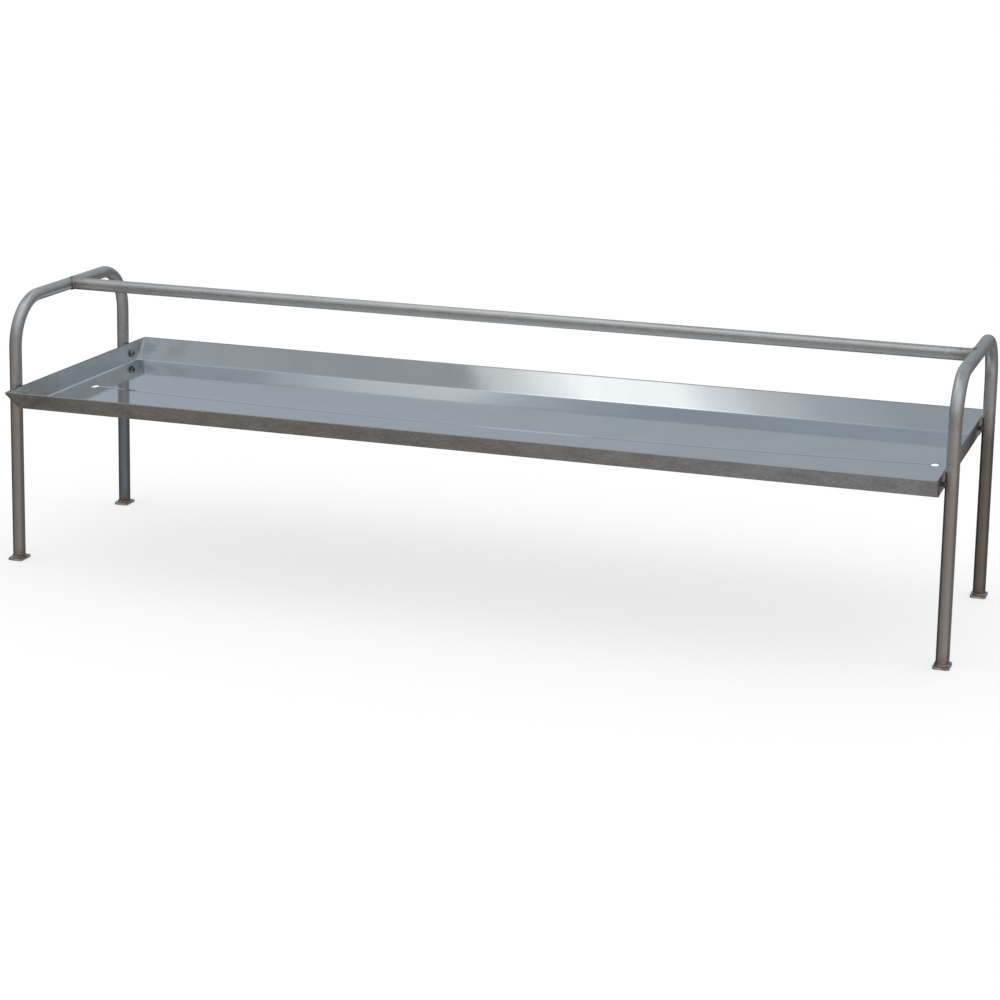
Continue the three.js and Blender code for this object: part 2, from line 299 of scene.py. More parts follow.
def stitch(rings, close_round=True, close_along=False, cap_ends=False):
    """Quads between consecutive rings of points. A ring of one point is a pole."""
    vertices = []
    starts = []
    for ring in rings:
        starts.append(len(vertices))
        vertices.extend(ring)
    faces = []
    count = len(rings)
    last = count if close_along else count - 1
    for i in range(last):
        j = (i + 1) % count
        size_a = len(rings[i])
        size_b = len(rings[j])
        size = max(size_a, size_b)
        steps = size if close_round else size - 1
        for k in range(steps):
            following = (k + 1) % size
            corners = [
                starts[i] + min(k, size_a - 1),
                starts[i] + min(following, size_a - 1),
                starts[j] + min(following, size_b - 1),
                starts[j] + min(k, size_b - 1),
            ]
            face = []
            for corner in corners:
                if corner not in face:
                    face.append(corner)
            faces.append(face)
    if cap_ends:
        faces.append(list(range(starts[0], starts[0] + len(rings[0]))))
        faces.append(list(range(starts[-1], starts[-1] + len(rings[-1]))))
    return vertices, faces


def turned_rings(profile, sides):
    """Rings of a turned piece on the X axis. The profile is a list of (along, radius)."""
    rings = []
    for along, radius in profile:
        if radius < 1e-7:
            rings.append([Vector((along, 0, 0))])
            continue
        ring = []
        for k in range(sides):
            angle = 2 * math.pi * k / sides
            ring.append(Vector((along, radius * math.cos(angle), radius * math.sin(angle))))
        rings.append(ring)
    return rings


def cylinder_between(low, high, radius, sides=48):
    """A closed cylinder from point to point, as vertices and faces."""
    axis = (high - low).normalized()
    across = axis.orthogonal().normalized()
    third = axis.cross(across)
    rings = []
    for end in (low, high):
        ring = []
        for k in range(sides):
            angle = 2 * math.pi * k / sides
            ring.append(end + radius * (math.cos(angle) * across + math.sin(angle) * third))
        rings.append(ring)
    return stitch(rings, cap_ends=True)


def settle_faces(obj):
    """Joins coincident corners, splits wide faces into triangles, drops pairs back to back."""
    body = bmesh.new()
    body.from_mesh(obj.data)
    bmesh.ops.remove_doubles(body, verts=body.verts, dist=1e-7)
    wide_faces = [face for face in body.faces if len(face.verts) > 4]
    bmesh.ops.triangulate(body, faces=wide_faces, quad_method="BEAUTY", ngon_method="BEAUTY")
    body.verts.index_update()
    same_corners = {}
    for face in body.faces:
        corners = frozenset(vertex.index for vertex in face.verts)
        same_corners.setdefault(corners, []).append(face)
    doubled = [face for group in same_corners.values() if len(group) == 2 for face in group]
    bmesh.ops.delete(body, geom=doubled, context="FACES_ONLY")
    body.to_mesh(obj.data)
    body.free()


def cut(obj, cutters):
    """Takes each cutter, given as (vertices, faces), out of the object for good."""
    for vertices, faces in cutters:
        tool = make_object("cutter", vertices, faces)
        modifier = obj.modifiers.new("cut", "BOOLEAN")
        modifier.operation = "DIFFERENCE"
        modifier.solver = "EXACT"
        modifier.object = tool
        bpy.context.view_layer.update()
        graph = bpy.context.evaluated_depsgraph_get()
        finished = bpy.data.meshes.new_from_object(obj.evaluated_get(graph))
        obj.modifiers.clear()
        old = obj.data
        obj.data = finished
        bpy.data.meshes.remove(old)
        bpy.data.objects.remove(tool)
    settle_faces(obj)


def store(obj, name, kind, value_of):
    """Stores value_of(point) on every vertex as a named attribute."""
    attribute = obj.data.attributes.new(name, kind, "POINT")
    field = "vector" if kind == "FLOAT_VECTOR" else "value"
    for vertex, slot in zip(obj.data.vertices, attribute.data):
        setattr(slot, field, value_of(vertex.co))


# ---------------------------------------------------------------- hoops


def hoop_stations():
    """(point, outward, share of bend) along a hoop's centre line in the plane x = 0."""
    tube = settings().tube
    bend_y = LEG_Y - tube.bend_radius
    bend_z = HOOP_TOP - tube.bend_radius
    stations = []
    leg_steps = 14
    for k in range(leg_steps):
        z = LEG_FOOT + (bend_z - LEG_FOOT) * k / leg_steps
        stations.append((Vector((0, -LEG_Y, z)), Vector((0, -1, 0)), 0.0))
    for centre_y, start in ((-bend_y, math.pi), (bend_y, math.pi / 2)):
        for k in range(tube.bend_steps + 1):
            share = k / tube.bend_steps
            angle = start - share * math.pi / 2
            outward = Vector((0, math.cos(angle), math.sin(angle)))
            centre = Vector((0, centre_y, bend_z))
            ease = smooth_step(0, 0.2, share) * smooth_step(0, 0.2, 1 - share)
            stations.append((centre + tube.bend_radius * outward, outward, ease))
        if centre_y < 0:
            bar_steps = 10
            for k in range(1, bar_steps):
                y = -bend_y + 2 * bend_y * k / bar_steps
                stations.append((Vector((0, y, HOOP_TOP)), Vector((0, 0, 1)), 0.0))
    for k in range(1, leg_steps + 1):
        z = bend_z + (LEG_FOOT - bend_z) * k / leg_steps
        stations.append((Vector((0, LEG_Y, z)), Vector((0, 1, 0)), 0.0))
    return stations


def hoop_ring(station, radius):
    """Points round the tube. A bend pushes the section's outer side in and widens it a little."""
    point, outward, bent = station
    tube = settings().tube
    ring = []
    for k in range(tube.sides):
        angle = 2 * math.pi * k / tube.sides
        out = math.cos(angle)
        side = math.sin(angle)
        squeeze = 1 - tube.bend_flattening * bent * (0.35 + 0.65 * max(0.0, out))
        widen = 1 + 0.3 * tube.bend_flattening * bent
        offset = radius * squeeze * out * outward + radius * widen * side * Vector((1, 0, 0))
        ring.append(point + offset)
    return ring


def hoop_coordinates(point):
    """Where a point of a hoop would be if its tube were straight along Z."""
    tube = settings().tube
    bend_y = LEG_Y - tube.bend_radius
    bend_z = HOOP_TOP - tube.bend_radius
    leg_length = bend_z - LEG_FOOT
    bend_length = tube.bend_radius * math.pi / 2
    side = 1 if point.x > 0 else -1
    across = point.x - side * HOOP_X
    if point.z < bend_z:
        out = abs(point.y) - LEG_Y
        run = point.z - LEG_FOOT
    elif abs(point.y) < bend_y:
        out = point.z - HOOP_TOP
        run = leg_length + bend_length + bend_y - abs(point.y)
    else:
        from_centre = Vector((abs(point.y) - bend_y, point.z - bend_z))
        out = from_centre.length - tube.bend_radius
        run = leg_length + tube.bend_radius * math.atan2(from_centre.y, from_centre.x)
    if point.y > 0:
        run = 2 * (leg_length + bend_length + bend_y) - run
    return (across, out, run + (1.3 if side > 0 else 0.0))


def build_hoop(end, side):
    tube = settings().tube
    fastener = settings().fastener
    stations = hoop_stations()
    chamfer = 0.0003
    drill_slack = 0.0001
    inner = TUBE_RADIUS - tube.wall
    rings = []
    rings.append(hoop_ring(stations[0], TUBE_RADIUS - chamfer))
    low_point, low_out, low_bent = stations[0]
    lifted = (low_point + Vector((0, 0, chamfer)), low_out, low_bent)
    rings.append(hoop_ring(lifted, TUBE_RADIUS))
    for station in stations[1:-1]:
        rings.append(hoop_ring(station, TUBE_RADIUS))
    far_point, far_out, far_bent = stations[-1]
    raised = (far_point + Vector((0, 0, chamfer)), far_out, far_bent)
    rings.append(hoop_ring(raised, TUBE_RADIUS))
    rings.append(hoop_ring(stations[-1], TUBE_RADIUS - chamfer))
    for station in reversed(stations):
        rings.append(hoop_ring(station, inner))
    vertices, faces = stitch(rings, close_along=True)
    obj = make_object(f"{end}_hoop_tube", vertices, faces)
    drills = []
    for _, row_side in ROWS:
        inside = Vector((-1.5 * side * TUBE_RADIUS, row_side * LEG_Y, BOLT_Z))
        middle = Vector((0, row_side * LEG_Y, BOLT_Z))
        drills.append(cylinder_between(inside, middle, fastener.insert_body + drill_slack))
    cut(obj, drills)
    obj.data.transform(Matrix.Translation((side * HOOP_X, 0, 0)))
    store(obj, "tube_space", "FLOAT_VECTOR", hoop_coordinates)
    present(obj, f"{end}_hoop", tube_steel())


# ---------------------------------------------------------------- rail and its welds


def bar_surface(z, radius):
    """X of the near side of the right top bar's surface, or of one round it, at height z from its axis."""
    return HOOP_X - math.sqrt(max(0.0, radius * radius - z * z))


def build_rail():
    tube = settings().tube
    gap = 0.0003
    cope = TUBE_RADIUS + gap
    inner = RAIL_RADIUS - tube.wall
    steps = 40

    def ring(radius, share):
        """share runs from -1 at the left end to 1 at the right end."""
        points = []
        for k in range(tube.sides):
            angle = 2 * math.pi * k / tube.sides
            y = radius * math.cos(angle)
            z = radius * math.sin(angle)
            points.append(Vector((share * bar_surface(z, cope), y, RAIL_Z + z)))
        return points

    shares = [-1 + 2 * k / steps for k in range(steps + 1)]
    rings = [ring(RAIL_RADIUS, share) for share in shares]
    rings += [ring(inner, share) for share in reversed(shares)]
    vertices, faces = stitch(rings, close_along=True)
    obj = make_object("top_rail_tube", vertices, faces)
    store(obj, "tube_space", "FLOAT_VECTOR", lambda p: (p.y, p.z - RAIL_Z, p.x + 4.0))
    present(obj, "top_rail", tube_steel())


def ripple(run, across, pitch):
    """Height, 0 to 1, of a bead's overlapping scales. across is 0 at the crown, 1 at a toe."""
    phase = run / pitch + 0.45 * across * across
    within = phase - math.floor(phase)
    return smooth_step(0, 0.35, within) * (1 - smooth_step(0.55, 1.0, within))


def bead(name, path, outward, closed, radius):
    """A rippled weld bead swept along a list of points. outward gives its crown at each point."""
    weld = settings().weld
    sides = 18
    count = len(path)
    rings = []
    run = 0.0
    for i, point in enumerate(path):
        before = path[i - 1] if closed or i > 0 else point
        after = path[(i + 1) % count] if closed or i < count - 1 else point
        tangent = (after - before).normalized()
        if i > 0:
            run += (point - path[i - 1]).length
        crown = outward[i]
        crown = (crown - crown.dot(tangent) * tangent).normalized()
        side = tangent.cross(crown)
        wander = 1 + 0.12 * noise.noise(Vector((run / 0.004, radius * 900, 1.7)))
        taper = 1.0
        if not closed:
            end_share = min(i, count - 1 - i) / 6
            taper = math.sqrt(min(1.0, 0.04 + end_share))
        ring = []
        for k in range(sides):
            angle = 2 * math.pi * k / sides
            lift = weld.ripple_depth * ripple(run, math.sin(angle), weld.ripple_pitch)
            size = radius * wander * taper * (1 + lift * max(0.0, math.cos(angle)) ** 0.5)
            ring.append(point + size * (math.cos(angle) * crown + math.sin(angle) * side))
        rings.append(ring)
    vertices, faces = stitch(rings, close_along=closed, cap_ends=not closed)
    return make_object(name, vertices, faces)


def build_rail_weld(end, side):
    weld = settings().weld
    steps = 220
    reach = TUBE_RADIUS + 0.00025
    bead_line = RAIL_RADIUS + 0.00015
    path = []
    outward = []
    for k in range(steps):
        angle = 2 * math.pi * k / steps
        y = bead_line * math.cos(angle)
        z = bead_line * math.sin(angle)
        x = bar_surface(z, reach)
        path.append(Vector((side * x, y, RAIL_Z + z)))
        from_rail = Vector((0, math.cos(angle), math.sin(angle)))
        from_bar = Vector((side * (x - HOOP_X), 0, z)).normalized()
        outward.append((from_rail + from_bar).normalized())
    obj = bead(f"rail_weld_{end}_bead", path, outward, True, weld.rail_bead)
    present(obj, f"rail_weld_{end}", weld_steel(), math.radians(60))


# ---------------------------------------------------------------- feet


def rounded_rectangle(half_x, half_y, radius, corner_steps=8):
    points = []
    corners = (
        (half_x - radius, half_y - radius, 0),
        (radius - half_x, half_y - radius, 90),
        (radius - half_x, radius - half_y, 180),
        (half_x - radius, radius - half_y, 270),
    )
    for x, y, start in corners:
        for k in range(corner_steps + 1):
            angle = math.radians(start + 90 * k / corner_steps)
            points.append((x + radius * math.cos(angle), y + radius * math.sin(angle)))
    return points


def build_foot_plate(place):
    low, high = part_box(f"foot_plate_{place}")
    middle = (low + high) / 2
    half = (high - low) / 2
    corner = 0.004
    edge = 0.0005
    levels = []
    for k in range(5):
        angle = math.pi / 2 * k / 4
        levels.append((low.z + edge * (1 - math.sin(angle)), edge * (1 - math.cos(angle))))
    levels.reverse()
    for k in range(5):
        angle = math.pi / 2 * k / 4
        levels.append((high.z - edge * (1 - math.sin(angle)), edge * (1 - math.cos(angle))))
    levels.insert(0, (low.z, 3 * edge))
    levels.append((high.z, 3 * edge))
    rings = []
    for z, inset in levels:
        outline = rounded_rectangle(half.x - inset, half.y - inset, max(0.0008, corner - inset))
        rings.append([Vector((middle.x + x, middle.y + y, z)) for x, y in outline])
    vertices, faces = stitch(rings, cap_ends=True)
    obj = make_object(f"foot_plate_{place}_pad", vertices, faces)
    store(obj, "edge_wear", "FLOAT", lambda p: plate_edge(p, middle, half, edge))
    present(obj, f"foot_plate_{place}", plate_steel(), math.radians(40))


def plate_edge(point, middle, half, edge):
    """1 on a plate's rounded edges, 0 on its flat faces."""
    from_level = half.z - abs(point.z - middle.z)
    inside_x = half.x - abs(point.x - middle.x)
    inside_y = half.y - abs(point.y - middle.y)
    from_side = min(inside_x, inside_y)
    if from_level > 1.5 * edge or from_side > 1.5 * edge:
        return 0.0
    return 1.0


def build_foot_weld(place):
    """A rippled fillet from the plate up to the leg."""
    weld = settings().weld
    low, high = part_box(f"foot_weld_{place}")
    middle = (low + high) / 2
    leg = high.z - low.z
    round_steps = 200
    face_steps = 8
    hollow = 1.25
    sunk = 0.0003
    root = TUBE_RADIUS - 0.0004
    rings = []
    for i in range(round_steps):
        angle = 2 * math.pi * i / round_steps
        run = angle * (TUBE_RADIUS + leg)
        seed = Vector((5 * math.cos(angle) + middle.x * 31, 5 * math.sin(angle), middle.y * 47))
        size = leg * (1.0 + 0.16 * noise.noise(seed * 0.4))
        ring = []
        for k in range(face_steps + 1):
            share = k / face_steps
            out = size * math.cos(share * math.pi / 2) ** hollow
            up = size * math.sin(share * math.pi / 2) ** hollow
            across = 2 * share - 1
            lift = 0.13 * leg * ripple(run, across, weld.ripple_pitch)
            lift *= math.sin(share * math.pi)
            ring.append((TUBE_RADIUS + out + lift * 0.7, PLATE_TOP + up + lift * 0.7))
        ring.append((root, PLATE_TOP + size))
        ring.append((root, PLATE_TOP - sunk))
        ring.append((TUBE_RADIUS + size, PLATE_TOP - sunk))
        rings.append(
            [
                Vector((middle.x + r * math.cos(angle), middle.y + r * math.sin(angle), z))
                for r, z in ring
            ]
        )
    vertices, faces = stitch(rings, close_along=True)
    obj = make_object(f"foot_weld_{place}_bead", vertices, faces)
    present(obj, f"foot_weld_{place}", weld_steel(), math.radians(50))


# ---------------------------------------------------------------- tray


def tray_lines():
    """X and Y of the grid lines over the tray's floor, in metres. Y is counted from the crease."""
    tray = settings().tray
    fold_x = RIM_X - tray.end_flare
    drain = drain_centre()
    half_crease = tray.crease_width / 2
    along = {0.0, fold_x - 0.0008}
    column_pitch = 0.016
    for k in range(1, 34):
        along.add(k * column_pitch)
    for offset in (-0.014, -0.008, -0.005, -0.002, 0.002, 0.006, 0.010, 0.014, 0.018, 0.022):
        along.add(drain + offset)
    across = {0.0}
    for k in range(1, 7):
        across.add(half_crease * k / 6)
    across.add(half_crease * 1.35)
    fold_y = RIM_Y - tray.long_flare
    for k in range(1, 18):
        across.add(half_crease * 2 + (fold_y - 0.004 - half_crease * 2) * k / 18)
    across.add(fold_y - 0.003)
    across.add(fold_y - 0.0012)
    along_lines = sorted(x for x in along if x < fold_x - 0.0025)
    along_lines.append(fold_x - 0.0022)
    return mirror(along_lines), mirror(sorted(across))


def mirror(values):
    return [-v for v in reversed(values) if v > 0] + list(values)


def wall_profile(height, radius, flare, wall_height):
    """How far a wall has moved out from the start of its fold arc, at a height above the floor."""
    slope = math.atan2(wall_height, flare)
    arc_height = radius * (1 - math.cos(slope))
    if height <= arc_height:
        return radius * math.sin(math.acos(max(-1.0, 1 - height / radius)))
    return radius * math.sin(slope) + (height - arc_height) / math.tan(slope)


def sheet_face(inside):
    """The rings of the tray's inner or outer face, from its floor grid's border to the rim."""
    tray = settings().tray
    wall_height = RIM_Z - tray.underside
    thick = tray.sheet
    radius = tray.fold_radius + (0 if inside else thick)
    walls = []
    for rim, flare in ((RIM_X, tray.end_flare), (RIM_Y, tray.long_flare)):
        slope = math.atan2(wall_height, flare)
        fold = rim - flare
        if inside:
            fold = fold - thick * math.tan(slope / 2)
        start = fold - radius * math.tan(slope / 2)
        if inside:
            top = wall_height - thick + 0.5 * thick * math.cos(slope)
        else:
            top = wall_height - 0.5 * thick * math.cos(slope)
        walls.append((start, flare, top))
    steepest = math.atan2(wall_height, tray.end_flare)
    arc = [radius * (1 - math.cos(steepest * k / 12)) for k in range(13)]
    straight = [0.08, 0.2, 0.35, 0.5, 0.65, 0.8, 0.92, 0.975]
    floor_z = tray.underside + (thick if inside else 0)
    levels = [(z, z, z) for z in arc]
    top_mean = (walls[0][2] + walls[1][2]) / 2
    reach = top_mean - arc[-1]
    for share in straight:
        z = arc[-1] + share * reach
        levels.append((z, z, z))
    levels.append((walls[0][2], walls[1][2], top_mean))
    rings = []
    for end_z, long_z, corner_z in levels:
        end_out = walls[0][0] + wall_profile(end_z, radius, walls[0][1], wall_height)
        long_out = walls[1][0] + wall_profile(long_z, radius, walls[1][1], wall_height)
        corner_x = walls[0][0] + wall_profile(corner_z, radius, walls[0][1], wall_height)
        corner_y = walls[1][0] + wall_profile(corner_z, radius, walls[1][1], wall_height)
        rings.append(
            {
                "end": (end_out, floor_z + end_z),
                "long": (long_out, floor_z + long_z),
                "corner": (corner_x, corner_y, floor_z + corner_z),
            }
        )
    return rings, floor_z


def waviness(x, y, climb):
    """The sheet's unevenness in metres. climb is how far up a wall the point is."""
    tray = settings().tray
    broad = noise.noise(Vector((x / 0.23, (y + climb) / 0.14, 3.1)))
    fine = noise.noise(Vector((x / 0.085, (y + climb) / 0.07, 8.4)))
    from_end = RIM_X - tray.end_flare - abs(x)
    return tray.waviness * (broad + 0.28 * fine) * smooth_step(0.002, 0.060, from_end)


def drain_centre():
    """X of the right drain slot's centre."""
    tray = settings().tray
    return RIM_X - tray.end_flare - tray.drain_inset


def crease_line(x):
    """Y of the crease, which bows toward the front between the drains."""
    tray = settings().tray
    share = min(1.0, abs(x) / drain_centre())
    return -tray.drain_offset - tray.crease_bow * (1 - share**tray.crease_bow_power)


def crease_drop(x, away):
    """Depth of the crease at a point, away from its line."""
    tray = settings().tray
    half = tray.crease_width / 2
    if abs(away) >= half:
        return 0.0
    fade = 1 - smooth_step(drain_centre() - 0.004, drain_centre() + 0.004, abs(x))
    valley = 0.5 + 0.5 * math.cos(math.pi * away / half)
    return tray.crease_depth * valley * fade


def crease_shade(point):
    """1 along the crease's line, 0 beside it. The tray paints shade and a highlight along it."""
    away = abs(point.y - crease_line(point.x)) / settings().tray.crease_width
    if abs(point.x) > drain_centre() or point.z > settings().tray.underside + 0.003:
        return 0.0
    return max(0.0, 1 - 2.2 * away)


def tray_sheet(inside):
    """Vertices and faces of one side of the sheet, and the vertices round its rim."""
    tray = settings().tray
    along, across = tray_lines()
    rings, floor_z = sheet_face(inside)
    start_x = rings[0]["end"][0]
    start_y = rings[0]["long"][0]
    along[0] = -start_x
    along[-1] = start_x
    xs = [x for x in along if abs(x) <= start_x]
    ys = [-start_y] + [y for y in across if abs(y) < start_y - 0.0002] + [start_y]
    vertices = []
    faces = []
    for y in ys:
        for x in xs:
            bent_y = y + crease_line(x) * (1 - (y / start_y) ** 2)
            z = floor_z - crease_drop(x, y) + waviness(x, bent_y, 0)
            vertices.append(Vector((x, bent_y, z)))
    columns = len(xs)
    rows = len(ys)
    for j in range(rows - 1):
        for i in range(columns - 1):
            a = j * columns + i
            faces.append([a, a + 1, a + columns + 1, a + columns])
    border = [(i, 0) for i in range(columns)]
    border += [(columns - 1, j) for j in range(1, rows)]
    border += [(i, rows - 1) for i in range(columns - 2, -1, -1)]
    border += [(0, j) for j in range(rows - 2, 0, -1)]
    previous = [j * columns + i for i, j in border]
    for ring in rings[1:]:
        current = []
        for i, j in border:
            at_end = i in (0, columns - 1)
            at_long = j in (0, rows - 1)
            side_x = 1 if i > 0 else -1
            side_y = 1 if j > 0 else -1
            corner_x, corner_y, corner_z = ring["corner"]
            if at_end and at_long:
                point = Vector((side_x * corner_x, side_y * corner_y, corner_z))
            elif at_end:
                out, z = ring["end"]
                y = ys[j] * corner_y / start_y
                point = Vector((side_x * out, y, z))
                lean = waviness(side_x * 0.3, ys[j], z - floor_z)
                lean *= smooth_step(0, 0.040, start_y - abs(ys[j]))
                point.x += side_x * lean * smooth_step(0.001, 0.006, z - floor_z)
            else:
                out, z = ring["long"]
                x = xs[i] * corner_x / start_x
                point = Vector((x, side_y * out, z))
                rise = waviness(x, side_y * (out + 0.02), 0)
                point.z += rise
            current.append(len(vertices))
            vertices.append(point)
        size = len(border)
        for k in range(size):
            following = (k + 1) % size
            faces.append([previous[k], previous[following], current[following], current[k]])
        previous = current
    return vertices, faces, previous


def drain_slot(x):
    """A cutter for one drain slot, round-ended, with its length across the tray."""
    tray = settings().tray
    outline = rounded_rectangle(
        tray.drain_width / 2, tray.drain_length / 2, tray.drain_width / 2 - 0.00001, 12
    )
    rings = []
    for z in (tray.underside - 0.03, tray.underside + 0.02):
        rings.append([Vector((x + dx, dy - tray.drain_offset, z)) for dx, dy in outline])
    return stitch(rings, cap_ends=True)


def build_tray():
    fastener = settings().fastener
    inner_vertices, inner_faces, inner_rim = tray_sheet(True)
    outer_vertices, outer_faces, outer_rim = tray_sheet(False)
    shift = len(inner_vertices)
    vertices = inner_vertices + outer_vertices
    faces = inner_faces + [[shift + v for v in face] for face in outer_faces]
    outer_rim = [shift + v for v in outer_rim]
    size = len(inner_rim)
    for k in range(size):
        following = (k + 1) % size
        faces.append([inner_rim[k], inner_rim[following], outer_rim[following], outer_rim[k]])
    obj = make_object("tray_folded_sheet", vertices, faces)
    hole_radius = fastener.thread_radius + 0.0004
    drill_reach = 0.012
    cutters = []
    for side in (-1, 1):
        cutters.append(drain_slot(side * drain_centre()))
        for row_side in (-1, 1):
            near = Vector((side * (RIM_X - drill_reach), row_side * BOLT_Y, BOLT_Z))
            far = Vector((side * (RIM_X + drill_reach), row_side * BOLT_Y, BOLT_Z))
            cutters.append(cylinder_between(near, far, hole_radius))
    cut(obj, cutters)
    store(obj, "crease_shade", "FLOAT", crease_shade)
    present(obj, "tray", tray_steel(), math.radians(28))


def build_corner_weld(place, side_x, side_y):
    tray = settings().tray
    weld = settings().weld
    low = Vector((side_x * (RIM_X - tray.end_flare), side_y * (RIM_Y - tray.long_flare), tray.underside))
    high = Vector((side_x * RIM_X, side_y * RIM_Y, RIM_Z))
    wall_height = RIM_Z - tray.underside
    end_normal = Vector((side_x * wall_height, 0, -tray.end_flare)).normalized()
    long_normal = Vector((0, side_y * wall_height, -tray.long_flare)).normalized()
    outward = (end_normal + long_normal).normalized()
    direction = (high - low).normalized()
    start = low + 0.0022 * direction
    finish = high - 0.0020 * direction
    lift = 0.0001 * outward
    steps = 150
    path = [start.lerp(finish, k / steps) + lift for k in range(steps + 1)]
    obj = bead(f"corner_weld_{place}_bead", path, [outward] * len(path), False, weld.corner_bead)
    present(obj, f"corner_weld_{place}", corner_weld_steel(), math.radians(60))


# ---------------------------------------------------------------- tray fasteners


def hexagon_prism(start, depth, flats):
    """A hexagonal cutter along X, with a shallow cone at its far end as a broached socket has."""
    radius = flats / math.sqrt(3)
    rings = []
    for along in (start - 0.004, start + depth):
        ring = []
        for k in range(6):
            angle = math.radians(60 * k + 30)
            ring.append(Vector((along, radius * math.cos(angle), radius * math.sin(angle))))
        rings.append(ring)
    rings.append([Vector((start + depth + 0.0005, 0, 0))])
    vertices, faces = stitch(rings)
    faces.append(list(range(6)))
    return vertices, faces


def build_bolt(place, side_x, side_y):
    """A button-head bolt that points away from the tray's middle."""
    fastener = settings().fastener
    low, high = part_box(f"tray_bolt_{place}")
    length = high.x - low.x
    head = fastener.head_height
    root = fastener.thread_radius - fastener.thread_depth
    sides = 48
    crown = 0.55 * BOLT_HEAD_RADIUS
    profile = [(0.0, 0.0), (0.0, crown * 0.5), (0.0, crown - 0.0002), (0.00005, crown)]
    dome_steps = 10
    for k in range(1, dome_steps + 1):
        angle = math.pi / 2 * k / dome_steps
        along = head * (1 - math.cos(angle)) * 0.9
        radius = crown + (BOLT_HEAD_RADIUS - crown) * math.sin(angle)
        profile.append((along, radius))
    profile.append((head - 0.0001, BOLT_HEAD_RADIUS))
    profile.append((head, BOLT_HEAD_RADIUS - 0.00015))
    profile.append((head, fastener.thread_radius + 0.0001))
    rings = turned_rings(profile, sides)
    shank_steps = int((length - head) / fastener.thread_pitch * 12)
    chamfer = 0.0009
    for i in range(1, shank_steps + 1):
        run = (length - head) * i / shank_steps
        along = head + run
        fade = smooth_step(0.0002, 0.0012, run)
        to_tip = length - head - run
        limit = root - 0.0002 + max(0.0, to_tip) / chamfer * (fastener.thread_depth + 0.0002)
        ring = []
        for k in range(sides):
            turn = k / sides
            phase = run / fastener.thread_pitch - turn
            within = abs(2 * (phase - math.floor(phase)) - 1)
            crest = smooth_step(0.1, 0.9, within)
            cut_depth = fastener.thread_depth * (1 - crest) * fade
            radius = min(fastener.thread_radius - cut_depth, limit)
            angle = 2 * math.pi * turn
            ring.append(Vector((along, radius * math.cos(angle), radius * math.sin(angle))))
        rings.append(ring)
    rings.append([Vector((length, 0, 0))])
    vertices, faces = stitch(rings)
    obj = make_object(f"tray_bolt_{place}_button_head", vertices, faces)
    cut(obj, [hexagon_prism(0.0, fastener.socket_depth, fastener.socket_flats)])
    turn = Matrix.Identity(4) if side_x > 0 else Matrix.Rotation(math.pi, 4, "Z")
    middle = (low + high) / 2
    start_x = low.x if side_x > 0 else high.x
    obj.data.transform(Matrix.Translation((start_x, middle.y, middle.z)) @ turn)
    present(obj, f"tray_bolt_{place}", shaded_bolt_zinc(), math.radians(35))


def build_insert(place, side_x):
    """A threaded insert whose flange is drawn down onto the leg's round side."""
    fastener = settings().fastener
    low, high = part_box(f"leg_insert_{place}")
    middle = (low + high) / 2
    flange = (high.z - low.z) / 2
    length = high.x - low.x
    bore = fastener.thread_radius + 0.0002
    face = -fastener.insert_flange
    end = length - fastener.insert_flange
    body = fastener.insert_body
    profile = [
        (face + 0.0002, bore),
        (face, bore + 0.0002),
        (face, flange - 0.0003),
        (face + 0.0001, flange - 0.0001),
        (face + 0.0003, flange),
        (-0.0001, flange),
        (0.0, flange - 0.0001),
        (0.0, body + 0.0001),
        (0.0002, body),
        (end - 0.0005, body),
        (end, body - 0.0004),
        (end, bore + 0.0003),
        (end - 0.0003, bore),
    ]
    rings = turned_rings(profile, 48)
    for ring in rings:
        for point in ring:
            if point.x <= 0.0003:
                point.x += TUBE_RADIUS - math.sqrt(TUBE_RADIUS**2 - point.y**2)
    vertices, faces = stitch(rings, close_along=True)
    obj = make_object(f"leg_insert_{place}_flanged", vertices, faces)
    turn = Matrix.Identity(4) if side_x > 0 else Matrix.Rotation(math.pi, 4, "Z")
    start_x = side_x * (HOOP_X - TUBE_RADIUS - 0.0001)
    obj.data.transform(Matrix.Translation((start_x, middle.y, middle.z)) @ turn)
    present(obj, f"leg_insert_{place}", insert_zinc(), math.radians(40))


# ---------------------------------------------------------------- shader groups


